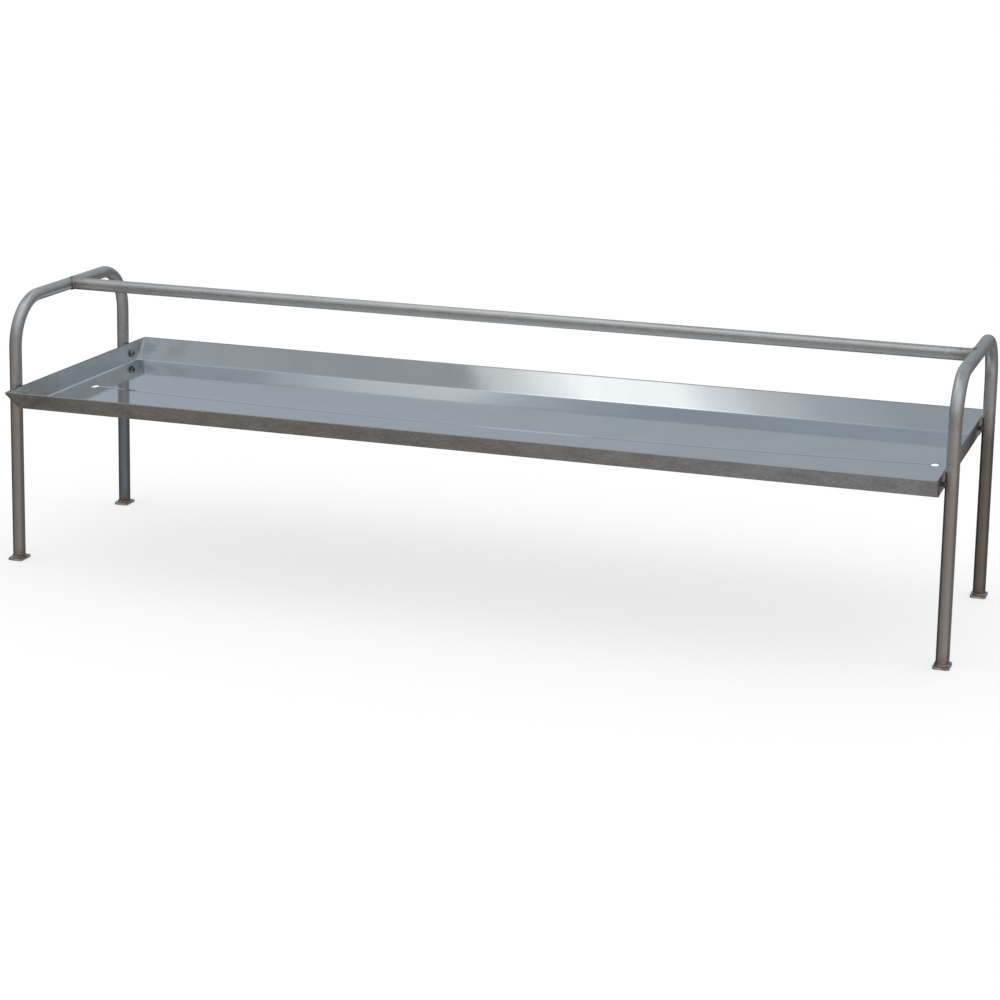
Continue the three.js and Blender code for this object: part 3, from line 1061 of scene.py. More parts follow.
class Graph:
    """Short ways to add nodes to one tree and join them."""

    def __init__(self, tree):
        self.tree = tree
        self.nodes = tree.nodes
        self.links = tree.links

    def add(self, kind, inputs=None, **properties):
        node = self.nodes.new(kind)
        for name, value in properties.items():
            setattr(node, name, value)
        for name, value in (inputs or {}).items():
            self.feed(node, name, value)
        return node

    def feed(self, node, name, value):
        """Sets an input to a number or colour, or joins it to another node's output."""
        socket = node.inputs[name]
        if isinstance(value, bpy.types.NodeSocket):
            self.links.new(value, socket)
        elif isinstance(value, tuple) and socket.type == "RGBA" and len(value) == 3:
            socket.default_value = (*value, 1.0)
        else:
            socket.default_value = value

    def math(self, operation, a, b=0.0, clamp=False):
        node = self.add("ShaderNodeMath", {0: a, 1: b}, operation=operation, use_clamp=clamp)
        return node.outputs[0]

    def times(self, a, b):
        return self.math("MULTIPLY", a, b)

    def plus(self, a, b):
        return self.math("ADD", a, b)

    def scaled(self, value, factor, offset):
        """value * factor + offset."""
        inputs = {0: value, 1: factor, 2: offset}
        return self.add("ShaderNodeMath", inputs, operation="MULTIPLY_ADD").outputs[0]

    def between(self, share, a, b):
        """A number on its way from a, at share 0, to b, at share 1."""
        return self.add("ShaderNodeMix", {0: share, 2: a, 3: b}, data_type="FLOAT").outputs[0]

    def coordinates(self, vector):
        """The X, Y and Z of a vector."""
        return self.add("ShaderNodeSeparateXYZ", {"Vector": vector}).outputs

    def attribute(self, name, output):
        return self.add("ShaderNodeAttribute", attribute_name=name).outputs[output]

    def ease(self, value, low, high, to_low=0.0, to_high=1.0):
        """A smooth change from to_low at low to to_high at high."""
        node = self.add(
            "ShaderNodeMapRange",
            {"Value": value, "From Min": low, "From Max": high, "To Min": to_low, "To Max": to_high},
            interpolation_type="SMOOTHSTEP",
        )
        return node.outputs["Result"]

    def mix(self, share, a, b, blend="MIX"):
        node = self.add("ShaderNodeMix", data_type="RGBA", blend_type=blend)
        self.feed(node, 0, share)
        for index, value in ((6, a), (7, b)):
            self.feed(node, index, value)
        return node.outputs[2]

    def vector(self, operation, a, b=(0.0, 0.0, 0.0)):
        return self.add("ShaderNodeVectorMath", {0: a, 1: b}, operation=operation)

    def noise(self, vector, scale, detail=3.0, roughness=0.55):
        node = self.add(
            "ShaderNodeTexNoise",
            {"Vector": vector, "Scale": scale, "Detail": detail, "Roughness": roughness},
        )
        return node.outputs["Fac"]


def group_tree(name, inputs, outputs):
    """A new shader node group with named sockets: (graph, input sockets, output node)."""
    tree = bpy.data.node_groups.new(name, "ShaderNodeTree")
    for label, kind, default in inputs:
        socket = tree.interface.new_socket(label, in_out="INPUT", socket_type=kind)
        if default is not None:
            socket.default_value = default
    for label, kind in outputs:
        tree.interface.new_socket(label, in_out="OUTPUT", socket_type=kind)
    graph = Graph(tree)
    entry = graph.add("NodeGroupInput")
    leave = graph.add("NodeGroupOutput")
    return graph, entry.outputs, leave


def mottle_group():
    """Uneven patches on raw or coated steel: broad clouds with small specks in them."""
    name = "Steel mottle"
    if name in bpy.data.node_groups:
        return bpy.data.node_groups[name]
    graph, given, leave = group_tree(
        name,
        [
            ("Place", "NodeSocketVector", None),
            ("Cloud Scale", "NodeSocketFloat", 30.0),
            ("Speck Scale", "NodeSocketFloat", 400.0),
            ("Speck Share", "NodeSocketFloat", 0.4),
        ],
        [("Cloud", "NodeSocketFloat"), ("Speck", "NodeSocketFloat"), ("Both", "NodeSocketFloat")],
    )
    cloud = graph.ease(graph.noise(given["Place"], given["Cloud Scale"], 4.0, 0.6), 0.3, 0.7)
    speck = graph.ease(graph.noise(given["Place"], given["Speck Scale"], 3.0, 0.65), 0.35, 0.65)
    weighted = graph.times(speck, given["Speck Share"])
    rest = graph.math("SUBTRACT", 1.0, given["Speck Share"])
    both = graph.plus(weighted, graph.times(cloud, rest))
    graph.feed(leave, "Cloud", cloud)
    graph.feed(leave, "Speck", speck)
    graph.feed(leave, "Both", both)
    return graph.tree


def drawn_grain_group():
    """Fine lines that the rolls or dies leave along a metal. Long is the direction they run in."""
    name = "Drawn grain"
    if name in bpy.data.node_groups:
        return bpy.data.node_groups[name]
    graph, given, leave = group_tree(
        name,
        [
            ("Place", "NodeSocketVector", None),
            ("Stretch", "NodeSocketVector", (1.0, 1.0, 0.02)),
            ("Line Scale", "NodeSocketFloat", 900.0),
        ],
        [("Lines", "NodeSocketFloat"), ("Broad Lines", "NodeSocketFloat")],
    )
    drawn = graph.vector("MULTIPLY", given["Place"], given["Stretch"]).outputs[0]
    fine = graph.noise(drawn, given["Line Scale"], 3.0, 0.6)
    broad_scale = graph.times(given["Line Scale"], 0.22)
    broad = graph.noise(drawn, broad_scale, 2.0, 0.5)
    graph.feed(leave, "Lines", graph.ease(fine, 0.3, 0.7))
    graph.feed(leave, "Broad Lines", graph.ease(broad, 0.3, 0.7))
    return graph.tree


def near_group():
    """A ragged patch round a point, such as heat tint beside a weld. 1 at the point, 0 at the reach."""
    name = "Ragged patch"
    if name in bpy.data.node_groups:
        return bpy.data.node_groups[name]
    graph, given, leave = group_tree(
        name,
        [
            ("Place", "NodeSocketVector", None),
            ("Centre", "NodeSocketVector", (0.0, 0.0, 0.0)),
            ("Stretch", "NodeSocketVector", (1.0, 1.0, 1.0)),
            ("Reach", "NodeSocketFloat", 0.02),
            ("Ragged", "NodeSocketFloat", 0.4),
            ("Grain Scale", "NodeSocketFloat", 160.0),
        ],
        [("Mask", "NodeSocketFloat")],
    )
    away = graph.vector("SUBTRACT", given["Place"], given["Centre"]).outputs[0]
    scaled = graph.vector("MULTIPLY", away, given["Stretch"]).outputs[0]
    distance = graph.vector("LENGTH", scaled).outputs["Value"]
    share = graph.math("DIVIDE", distance, given["Reach"])
    torn = graph.noise(given["Place"], given["Grain Scale"], 4.0, 0.65)
    torn = graph.times(graph.math("SUBTRACT", torn, 0.5), given["Ragged"])
    ragged = graph.plus(share, graph.times(torn, 2.0))
    graph.feed(leave, "Mask", graph.ease(ragged, 0.0, 1.0, 1.0, 0.0))
    return graph.tree


def use_group(graph, tree, inputs):
    node = graph.add("ShaderNodeGroup", node_tree=tree)
    for name, value in inputs.items():
        graph.feed(node, name, value)
    return node.outputs


def mottled(graph, place, cloud, speck, share):
    inputs = {"Place": place, "Cloud Scale": cloud, "Speck Scale": speck, "Speck Share": share}
    return use_group(graph, mottle_group(), inputs)


def drawn(graph, place, stretch, lines):
    inputs = {"Place": place, "Stretch": stretch, "Line Scale": lines}
    return use_group(graph, drawn_grain_group(), inputs)


def patch(graph, place, centre, reach, ragged=0.4, grain=160.0, stretch=(1.0, 1.0, 1.0)):
    """A ragged mask, 1 at centre and 0 at reach from it."""
    inputs = {"Place": place, "Centre": centre, "Reach": reach, "Stretch": stretch}
    outputs = use_group(graph, near_group(), {**inputs, "Ragged": ragged, "Grain Scale": grain})
    return outputs["Mask"]


def emboss(graph, shader, height, strength, distance):
    inputs = {"Height": height, "Strength": strength, "Distance": distance}
    graph.feed(shader, "Normal", graph.add("ShaderNodeBump", inputs).outputs[0])


# ---------------------------------------------------------------- materials


def new_material(name):
    """A new metal material: (material, graph, principled shader)."""
    material = bpy.data.materials.new(name)
    material.use_nodes = True
    graph = Graph(material.node_tree)
    graph.nodes.clear()
    shader = graph.add("ShaderNodeBsdfPrincipled", {"Metallic": 1.0, "IOR": 1.5})
    graph.add("ShaderNodeOutputMaterial", {"Surface": shader.outputs[0]})
    return material, graph, shader


def shade(colour, share):
    return tuple(min(1.0, c * share) for c in colour)


def tinted(colour, red, green, blue):
    return (colour[0] * red, colour[1] * green, colour[2] * blue)


def tube_steel():
    """Raw drawn steel tube: satin, faintly lined along its length, mottled, browned at the welds, with
    painted shade on the legs under the tray and a painted highlight above it.
    """
    name = "raw_tube_steel"
    if name in bpy.data.materials:
        return bpy.data.materials[name]
    finish = settings().finish
    base = tuple(finish.tube)
    rust = tuple(finish.rust)
    material, graph, shader = new_material(name)
    tube_place = graph.attribute("tube_space", "Vector")
    place = graph.add("ShaderNodeTexCoord").outputs["Object"]
    mottle = mottled(graph, tube_place, cloud=46.0, speck=420.0, share=0.6)
    grain = drawn(graph, tube_place, stretch=(1.0, 1.0, 0.035), lines=700.0)
    colour = graph.mix(mottle["Both"], shade(base, 0.66), shade(base, 1.26))
    colour = graph.mix(graph.times(grain["Broad Lines"], 0.25), colour, tinted(base, 0.86, 0.80, 0.74))
    split = graph.coordinates(place)
    height = split["Z"]
    stain_noise = graph.noise(place, 150.0, 4.0, 0.7)
    foot = graph.ease(height, PLATE_TOP, PLATE_TOP + 0.020, 1.0, 0.0)
    foot = graph.times(foot, graph.ease(stain_noise, 0.32, 0.62))
    mirrored = graph.vector("ABSOLUTE", place).outputs[0]
    joint = patch(graph, mirrored, centre=(HOOP_X - 0.012, 0.0, RAIL_Z), reach=0.022, ragged=0.6)
    bolt = patch(graph, mirrored, centre=(HOOP_X - TUBE_RADIUS, BOLT_Y, BOLT_Z), reach=0.014)
    brown = tinted(base, 0.50, 0.40, 0.31)
    # Painted shade: under the tray the legs are darkened, most at the rear, and the rear-left leg gets a
    # bluish painted reflection.
    under_tray_shade = graph.ease(height, 0.200, 0.235, 1.0, 0.0)
    to_right = graph.ease(split["X"], -0.02, 0.02)
    to_rear = graph.ease(split["Y"], -0.02, 0.02)
    front_legs_painted_shade = graph.mix(to_right, tinted(base, 0.80, 0.76, 0.75), tinted(base, 0.90, 0.86, 0.84))
    rear_legs_painted_shade = graph.mix(to_right, tinted(base, 0.36, 0.49, 0.61), tinted(base, 0.42, 0.38, 0.34))
    low_legs_painted_shade = graph.mix(to_rear, front_legs_painted_shade, rear_legs_painted_shade)
    colour = graph.mix(graph.times(under_tray_shade, 0.8), colour, low_legs_painted_shade)
    # Painted highlight: the tube above the tray is tinted lighter and bluer, as the sky it reflects.
    upper_painted_highlight = graph.ease(height, 0.225, 0.26)
    colour = graph.mix(graph.times(upper_painted_highlight, 0.5), colour, tinted(base, 1.16, 1.20, 1.23))
    colour = graph.mix(graph.times(joint, 0.75), colour, brown)
    colour = graph.mix(graph.times(bolt, 0.45), colour, brown)
    colour = graph.mix(graph.times(foot, 0.6), colour, rust)
    graph.feed(shader, "Base Color", colour)
    rough = graph.scaled(mottle["Both"], 0.14, 0.24)
    rough = graph.plus(rough, graph.times(grain["Lines"], 0.05))
    rough = graph.plus(rough, graph.times(foot, 0.25))
    graph.feed(shader, "Roughness", rough)
    relief = graph.plus(graph.times(grain["Lines"], 0.5), mottle["Speck"])
    emboss(graph, shader, relief, strength=0.10, distance=0.0004)
    return material


def plate_steel():
    """Raw flat steel: duller than the tube, bright on its edges, rusty beside the weld."""
    name = "raw_plate_steel"
    if name in bpy.data.materials:
        return bpy.data.materials[name]
    finish = settings().finish
    base = tuple(finish.plate)
    rust = tuple(finish.rust)
    material, graph, shader = new_material(name)
    place = graph.add("ShaderNodeTexCoord").outputs["Object"]
    mottle = mottled(graph, place, cloud=120.0, speck=900.0, share=0.4)
    colour = graph.mix(mottle["Both"], shade(base, 0.72), shade(base, 1.18))
    edge_wear_and_crease_shade = graph.attribute("edge_wear", "Fac")
    broken = graph.times(edge_wear_and_crease_shade, graph.ease(mottle["Cloud"], 0.2, 0.8, 0.35, 1.0))
    colour = graph.mix(broken, colour, shade(base, 1.5))
    rusted = graph.ease(graph.noise(place, 260.0, 5.0, 0.7), 0.52, 0.66)
    colour = graph.mix(graph.times(rusted, 0.6), colour, rust)
    graph.feed(shader, "Base Color", colour)
    rough = graph.ease(mottle["Both"], 0.0, 1.0, 0.50, 0.34)
    rough = graph.plus(rough, graph.times(rusted, 0.2))
    graph.feed(shader, "Roughness", rough)
    emboss(graph, shader, mottle["Both"], strength=0.2, distance=0.0003)
    return material


def stained_metal(name, mottle_sizes, tones, stains, rough, relief):
    """A mottled metal under some stains. A stain is (noise scale, detail, noise roughness, low, high,
    share, colour, added roughness), and shows where the noise is between low and high or above."""
    if name in bpy.data.materials:
        return bpy.data.materials[name]
    material, graph, shader = new_material(name)
    place = graph.add("ShaderNodeTexCoord").outputs["Object"]
    mottle = mottled(graph, place, **mottle_sizes)
    colour = graph.mix(mottle["Both"], *tones)
    roughness = graph.ease(mottle["Both"], 0.0, 1.0, *rough)
    for scale, detail, breakup, low, high, share, stain, added in stains:
        mask = graph.ease(graph.noise(place, scale, detail, breakup), low, high)
        colour = graph.mix(graph.times(mask, share), colour, stain)
        if added:
            roughness = graph.plus(roughness, graph.times(mask, added))
    graph.feed(shader, "Base Color", colour)
    graph.feed(shader, "Roughness", roughness)
    emboss(graph, shader, mottle["Speck"], strength=relief, distance=0.0002)
    return material


def weld_metal(name, dark, light, rust_share):
    """Weld metal: heat-blued and brown between its ripples."""
    finish = settings().finish
    base = tuple(finish.weld)
    blued = (130.0, 3.0, 0.5, 0.42, 0.68, 0.55, tinted(base, 0.40, 0.50, 0.56), 0.0)
    rusted = (330.0, 5.0, 0.7, 0.50, 0.64, rust_share, tuple(finish.rust), 0.2)
    sizes = {"cloud": 210.0, "speck": 1400.0, "share": 0.3}
    tones = (shade(base, dark), shade(base, light))
    return stained_metal(name, sizes, tones, (blued, rusted), rough=(0.46, 0.26), relief=0.15)


def weld_steel():
    return weld_metal("weld_bead_steel", 0.62, 1.45, 0.55)


def corner_weld_steel():
    return weld_metal("corner_bead_steel", 0.75, 1.25, 0.10)


def tray_steel():
    """Zinc-coated sheet: glossy, faint roll lines, dark patches on the outer front wall, browned round the
    bolts and drains, with painted reflection tones on the outer faces, end walls and long walls, painted
    shade and reflection patches near the rear-left corner, painted shade in the corners and along the
    crease, and painted highlights on the crease and the folds.
    """
    name = "zinc_coated_sheet"
    if name in bpy.data.materials:
        return bpy.data.materials[name]
    tray = settings().tray
    base = tuple(settings().finish.tray)
    material, graph, shader = new_material(name)
    place = graph.add("ShaderNodeTexCoord").outputs["Object"]
    split = graph.coordinates(place)
    mottle = mottled(graph, place, cloud=9.0, speck=520.0, share=0.35)
    grain = drawn(graph, place, stretch=(1.0, 0.03, 0.03), lines=260.0)
    colour = graph.mix(mottle["Both"], shade(base, 0.94), shade(base, 1.05))
    colour = graph.mix(graph.times(grain["Lines"], 0.22), colour, tinted(base, 0.90, 0.93, 0.95))
    mirrored = graph.vector("ABSOLUTE", place).outputs[0]
    one_side = graph.add(
        "ShaderNodeCombineXYZ",
        {"X": graph.math("ABSOLUTE", split["X"]), "Y": split["Y"], "Z": split["Z"]},
    )
    sideways = one_side.outputs[0]
    facing = graph.add("ShaderNodeNewGeometry").outputs["True Normal"]
    facing = graph.coordinates(facing)
    outside = graph.ease(facing["Z"], -0.15, -0.02, 1.0, 0.0)
    # Painted reflection: the outer faces get a tone that is warmer and darker at the left and lighter and
    # bluer at the right, as the ground they mirror, with a random mottle between a darker and a lighter
    # copy.
    tone_mottle = mottled(graph, place, cloud=34.0, speck=210.0, share=0.5)
    to_right = graph.ease(split["X"], -0.10, 0.35)
    dark_outside_reflection = graph.mix(to_right, tinted(base, 0.70, 0.64, 0.60), tinted(base, 0.82, 0.80, 0.80))
    light_outside_reflection = graph.mix(to_right, tinted(base, 1.16, 1.12, 1.10), tinted(base, 1.26, 1.27, 1.29))
    outside_reflection_tone = graph.mix(tone_mottle["Both"], dark_outside_reflection, light_outside_reflection)
    colour = graph.mix(outside, colour, outside_reflection_tone)
    # Two darker brown patches on the outer front wall, near its right and left ends.
    right_front_dark_patch = patch(
        graph,
        place,
        centre=(0.425, BOLT_Y * -1.18, BOLT_Z + 0.003),
        stretch=(0.5, 0.5, 1.3),
        reach=0.012,
        ragged=0.7,
        grain=220.0,
    )
    left_front_dark_patch = patch(
        graph,
        place,
        centre=(-0.555, BOLT_Y * -1.22, BOLT_Z + 0.002),
        stretch=(0.6, 0.6, 1.2),
        reach=0.030,
        ragged=0.8,
        grain=120.0,
    )
    front_dark_patches = graph.math("MAXIMUM", right_front_dark_patch, left_front_dark_patch)
    front_dark_patches = graph.times(front_dark_patches, graph.times(outside, 0.45))
    colour = graph.mix(front_dark_patches, colour, tinted(base, 0.46, 0.42, 0.38))
    drain = patch(
        graph,
        sideways,
        centre=(drain_centre(), -tray.drain_offset, tray.underside + tray.sheet),
        stretch=(1.0, 0.62, 1.0),
        reach=0.0085,
        ragged=0.35,
        grain=500.0,
    )
    bolt = patch(
        graph,
        mirrored,
        centre=(RIM_X - 0.002, BOLT_Y + 0.002, BOLT_Z),
        stretch=(1.0, 1.0, 0.6),
        reach=0.020,
        ragged=0.5,
        grain=180.0,
    )
    # Painted shade: the four inner corners where the floor meets the walls are darkened brownish.
    corner = patch(
        graph,
        mirrored,
        centre=(RIM_X - 0.003, RIM_Y - tray.long_flare, tray.underside),
        stretch=(1.0, 0.6, 0.5),
        reach=0.024,
        ragged=0.6,
        grain=120.0,
    )
    colour = graph.mix(graph.times(drain, 0.35), colour, tinted(base, 0.55, 0.50, 0.44))
    colour = graph.mix(graph.times(bolt, 0.55), colour, tinted(base, 0.60, 0.50, 0.43))
    colour = graph.mix(graph.times(corner, 0.35), colour, tinted(base, 0.66, 0.60, 0.54))
    # Painted shade along the crease, with a painted highlight stretch about X = 0.055.
    crease = graph.attribute("crease_shade", "Fac")
    edge_wear_and_crease_shade = graph.ease(graph.math("ABSOLUTE", graph.math("SUBTRACT", split["X"], 0.055)), 0.05, 0.09)
    crease_shade_and_highlight = graph.mix(edge_wear_and_crease_shade, shade(base, 1.25), tinted(base, 0.44, 0.47, 0.50))
    colour = graph.mix(graph.times(crease, 0.85), colour, crease_shade_and_highlight)
    # Painted reflection: the inner long walls right of the middle are tinted lighter and bluer, as the sky
    # they mirror.
    side_wall = graph.ease(graph.math("ABSOLUTE", facing["Y"]), 0.4, 0.8)
    long_wall_sky_reflection = graph.times(side_wall, graph.ease(split["X"], 0.15, 0.45))
    long_wall_sky_reflection = graph.times(long_wall_sky_reflection, graph.math("SUBTRACT", 1.0, outside))
    colour = graph.mix(long_wall_sky_reflection, colour, tinted(base, 1.05, 1.11, 1.17))
    floor_top = tray.underside + tray.sheet
    # Painted highlight: a lighter line along the inner folds at the floor, full near the end walls and
    # fainter along the middle.
    fold = graph.math(
        "MULTIPLY",
        graph.ease(split["Z"], floor_top + 0.0002, floor_top + 0.0005),
        graph.ease(split["Z"], floor_top + 0.0011, floor_top + 0.0017, 1.0, 0.0),
    )
    inside = graph.math("SUBTRACT", 1.0, outside)
    ends = graph.ease(graph.math("ABSOLUTE", split["X"]), RIM_X - 0.009, RIM_X - 0.007)
    fold = graph.times(fold, graph.ease(ends, 0.0, 1.0, 0.35, 1.0))
    fold = graph.times(fold, inside)
    # Painted reflection tone: the inner end walls get a warm tone chosen by which way they face, mottled
    # between a darker and a lighter copy.
    end_wall = graph.times(inside, graph.ease(graph.math("ABSOLUTE", facing["X"]), 0.5, 0.9))
    dark_end_reflection = tinted(base, 0.90, 0.86, 0.81)
    light_end_reflection = tinted(base, 1.10, 1.06, 1.02)
    colour = graph.mix(end_wall, colour, graph.mix(tone_mottle["Both"], dark_end_reflection, light_end_reflection))
    # Painted highlight along the folds.
    colour = graph.mix(graph.times(fold, 0.75), colour, shade(base, 1.5))
    # Painted shade and reflection patches: bluish-dark and grey ones by the rear-left corner, brown ones
    # beside it and on the left end wall.
    for centre, reach, red, green, blue, strength in (
        ((-0.572, 0.182, 0.221), 0.018, 0.52, 0.62, 0.70, 0.40),
        ((-0.534, 0.182, 0.221), 0.026, 0.66, 0.58, 0.52, 0.40),
        ((-0.588, -0.120, 0.216), 0.075, 0.70, 0.64, 0.56, 0.50),
        ((-0.589, 0.176, 0.218), 0.034, 0.58, 0.60, 0.62, 0.55),
    ):
        painted_patch = patch(graph, place, centre, reach, ragged=0.7, grain=140.0)
        cover = graph.times(graph.times(painted_patch, inside), strength)
        colour = graph.mix(cover, colour, tinted(base, red, green, blue))
    rim = graph.ease(split["Z"], RIM_Z - 0.0011, RIM_Z - 0.0002)
    colour = graph.mix(graph.times(rim, 0.8), colour, tinted(base, 0.42, 0.39, 0.36))
    graph.feed(shader, "Base Color", colour)
    rough = graph.scaled(mottle["Cloud"], 0.03, 0.040)
    rough = graph.plus(rough, graph.times(grain["Lines"], 0.02))
    rough = graph.plus(rough, graph.times(outside, 0.10))
    rough = graph.plus(rough, graph.times(end_wall, 0.18))
    rough = graph.plus(rough, graph.times(rim, 0.25))
    rough = graph.plus(rough, graph.times(bolt, 0.12))
    rough = graph.plus(rough, graph.times(corner, 0.10))
    graph.feed(shader, "Roughness", rough)
    relief = graph.plus(grain["Broad Lines"], graph.times(mottle["Speck"], 0.3))
    emboss(graph, shader, relief, strength=0.03, distance=0.0004)
    return material


def zinc_metal(name, dark, light, stain_share):
    """Zinc plating: fine grey bloom with a little brown in its corners."""
    base = tuple(settings().finish.zinc)
    dirt = (420.0, 4.0, 0.65, 0.50, 0.68, stain_share, tinted(base, 0.42, 0.33, 0.25), 0.0)
    sizes = {"cloud": 330.0, "speck": 1800.0, "share": 0.35}
    tones = (shade(base, dark), shade(base, light))
    return stained_metal(name, sizes, tones, (dirt,), rough=(0.60, 0.44), relief=0.08)


def shaded_bolt_zinc():
    # Painted shade: the bolt's zinc is darkened well below the inserts' to stand for its shaded head.
    return zinc_metal("bolt_zinc_plating", 0.42, 0.74, 0.5)


def insert_zinc():
    return zinc_metal("insert_zinc_plating", 0.80, 1.20, 0.3)


# ---------------------------------------------------------------- studio


def aim(obj, place, yaw, pitch, roll):
    """Points a camera: yaw to the left of +Y, pitch downward, roll about its own axis."""
    ahead = Vector(
        (-math.sin(yaw) * math.cos(pitch), math.cos(yaw) * math.cos(pitch), -math.sin(pitch))
    )
    right = Vector((math.cos(yaw), math.sin(yaw), 0))
    up = right.cross(ahead)
    rolled_right = math.cos(roll) * right + math.sin(roll) * up
    rolled_up = -math.sin(roll) * right + math.cos(roll) * up
    basis = Matrix((rolled_right, rolled_up, -ahead)).transposed().to_4x4()
    obj.matrix_world = Matrix.Translation(Vector(place)) @ basis


def make_camera():
    studio = settings().studio
    data = bpy.data.cameras.new("studio_camera")
    data.sensor_width = 36.0
    data.lens = studio.lens
    data.shift_x = 0.0
    data.shift_y = studio.shift_y
    data.clip_start = 0.05
    data.clip_end = 200.0
    camera = bpy.data.objects.new("studio_camera", data)
    bpy.context.scene.collection.objects.link(camera)
    aim(camera, studio.camera_place, studio.camera_yaw, studio.camera_pitch, studio.camera_roll)
    bpy.context.scene.camera = camera


def colour_ramp(graph, value, stops):
    """A ramp over value from -1 to 1. stops is a list of (value, colour)."""
    share = graph.scaled(value, 0.5, 0.5)
    node = graph.add("ShaderNodeValToRGB", {"Fac": share})
    ramp = node.color_ramp
    ramp.interpolation = "EASE"
    while len(ramp.elements) > 1:
        ramp.elements.remove(ramp.elements[-1])
    first = True
    for level, colour in stops:
        place = 0.5 + 0.5 * level
        element = ramp.elements[0] if first else ramp.elements.new(place)
        element.position = place
        element.color = (*colour, 1.0)
        first = False
    return node.outputs["Color"]


def make_world():
    """Soft studio surroundings. Metal mirrors a cool sky above a warm floor; matt things see white."""
    world = bpy.data.worlds.new("studio_surroundings")
    bpy.context.scene.world = world
    world.use_nodes = True
    graph = Graph(world.node_tree)
    graph.nodes.clear()
    direction = graph.add("ShaderNodeTexCoord").outputs["Generated"]
    split = graph.coordinates(direction)
    up = split["Z"]
    sideways = split["X"]
    nadir = (0.24, 0.225, 0.21)
    zenith = (0.40, 0.42, 0.43)
    behind_left = colour_ramp(
        graph,
        up,
        [
            (-1.0, nadir),
            (-0.80, (0.19, 0.175, 0.16)),
            (-0.45, (0.12, 0.12, 0.12)),
            (-0.22, (0.045, 0.062, 0.072)),
            (-0.03, (0.07, 0.085, 0.095)),
            (0.08, (0.37, 0.42, 0.47)),
            (0.22, (0.425, 0.465, 0.515)),
            (0.36, (0.54, 0.60, 0.65)),
            (0.70, (0.56, 0.62, 0.66)),
            (0.87, (0.48, 0.53, 0.57)),
            (0.95, (0.40, 0.415, 0.42)),
            (1.0, zenith),
        ],
    )
    behind_right = colour_ramp(
        graph,
        up,
        [
            (-1.0, nadir),
            (-0.80, (0.35, 0.35, 0.36)),
            (-0.45, (0.27, 0.255, 0.245)),
            (-0.20, (0.27, 0.25, 0.24)),
            (-0.03, (0.20, 0.20, 0.20)),
            (0.08, (0.31, 0.35, 0.385)),
            (0.25, (0.365, 0.395, 0.425)),
            (0.42, (0.48, 0.53, 0.58)),
            (0.72, (0.50, 0.56, 0.60)),
            (0.95, (0.48, 0.55, 0.61)),
            (1.0, zenith),
        ],
    )
    before = colour_ramp(
        graph,
        up,
        [
            (-1.0, nadir),
            (-0.85, (0.55, 0.52, 0.50)),
            (-0.50, (0.58, 0.54, 0.51)),
            (-0.20, (0.47, 0.42, 0.385)),
            (0.05, (0.36, 0.345, 0.335)),
            (0.30, (0.43, 0.44, 0.45)),
            (0.50, (0.58, 0.61, 0.64)),
            (0.70, (0.80, 0.85, 0.88)),
            (0.90, (1.02, 1.08, 1.10)),
            (1.0, (0.60, 0.62, 0.64)),
        ],
    )
    low_band = graph.math(
        "MULTIPLY", graph.ease(up, -0.55, -0.40), graph.ease(up, -0.06, 0.04, 1.0, 0.0)
    )
    sky_share = graph.ease(sideways, -0.50, 0.25)
    band_share = graph.ease(sideways, -0.02, 0.20)
    right_share = graph.between(low_band, sky_share, band_share)
    behind = graph.mix(right_share, behind_left, behind_right)
    left_to_right = graph.ease(sideways, -1.0, 0.6, 0.75, 1.12)
    before = graph.mix(1.0, before, left_to_right, "MULTIPLY")
    low_back = graph.ease(split["Y"], -0.50, 0.15)
    high_back = graph.ease(split["Y"], -0.24, -0.06)
    back = graph.between(graph.ease(up, 0.75, 0.92), low_back, high_back)
    mirrored = graph.mix(back, before, behind)
    rays = graph.add("ShaderNodeLightPath")
    lit = graph.mix(rays.outputs["Is Diffuse Ray"], mirrored, (1.0, 1.0, 1.0))
    seen = graph.mix(rays.outputs["Is Camera Ray"], lit, (1.0, 1.0, 1.0))
    shine = graph.add("ShaderNodeBackground", {"Color": seen, "Strength": 1.0})
    graph.add("ShaderNodeOutputWorld", {"Surface": shine.outputs[0]})


def studio_sheet(name, material_name, left, right, front, rear, faces_up):
    """A flat rectangle for the stage: (object, the graph of its empty material)."""
    corners = [(left, front, 0), (right, front, 0), (right, rear, 0), (left, rear, 0)]
    mesh = bpy.data.meshes.new(name)
    mesh.from_pydata(corners, [], [(0, 1, 2, 3) if faces_up else (0, 3, 2, 1)])
    sheet = bpy.data.objects.new(name, mesh)
    bpy.context.scene.collection.objects.link(sheet)
    material = bpy.data.materials.new(material_name)
    material.use_nodes = True
    graph = Graph(material.node_tree)
    graph.nodes.clear()
    mesh.materials.append(material)
    return sheet, graph


def make_floor():
    """A plain pale floor that the metal doesn't mirror."""
    half = 40.0
    floor, graph = studio_sheet("studio_floor", "pale_floor", -half, half, -half, half, True)
    matt = graph.add("ShaderNodeBsdfDiffuse", {"Color": (0.40, 0.40, 0.40)})
    glow = graph.add("ShaderNodeEmission", {"Color": (0.63, 0.63, 0.63), "Strength": 1.0})
    both = graph.add("ShaderNodeAddShader", {0: matt.outputs[0], 1: glow.outputs[0]})
    graph.add("ShaderNodeOutputMaterial", {"Surface": both.outputs[0]})
    floor.visible_glossy = False


def level_ramp(graph, value, reach, stops):
    """A number that runs through the (value, level) stops, which lie between -reach and reach."""
    share = graph.math("DIVIDE", value, reach)
    return colour_ramp(graph, share, [(place / reach, (level,) * 3) for place, level in stops])


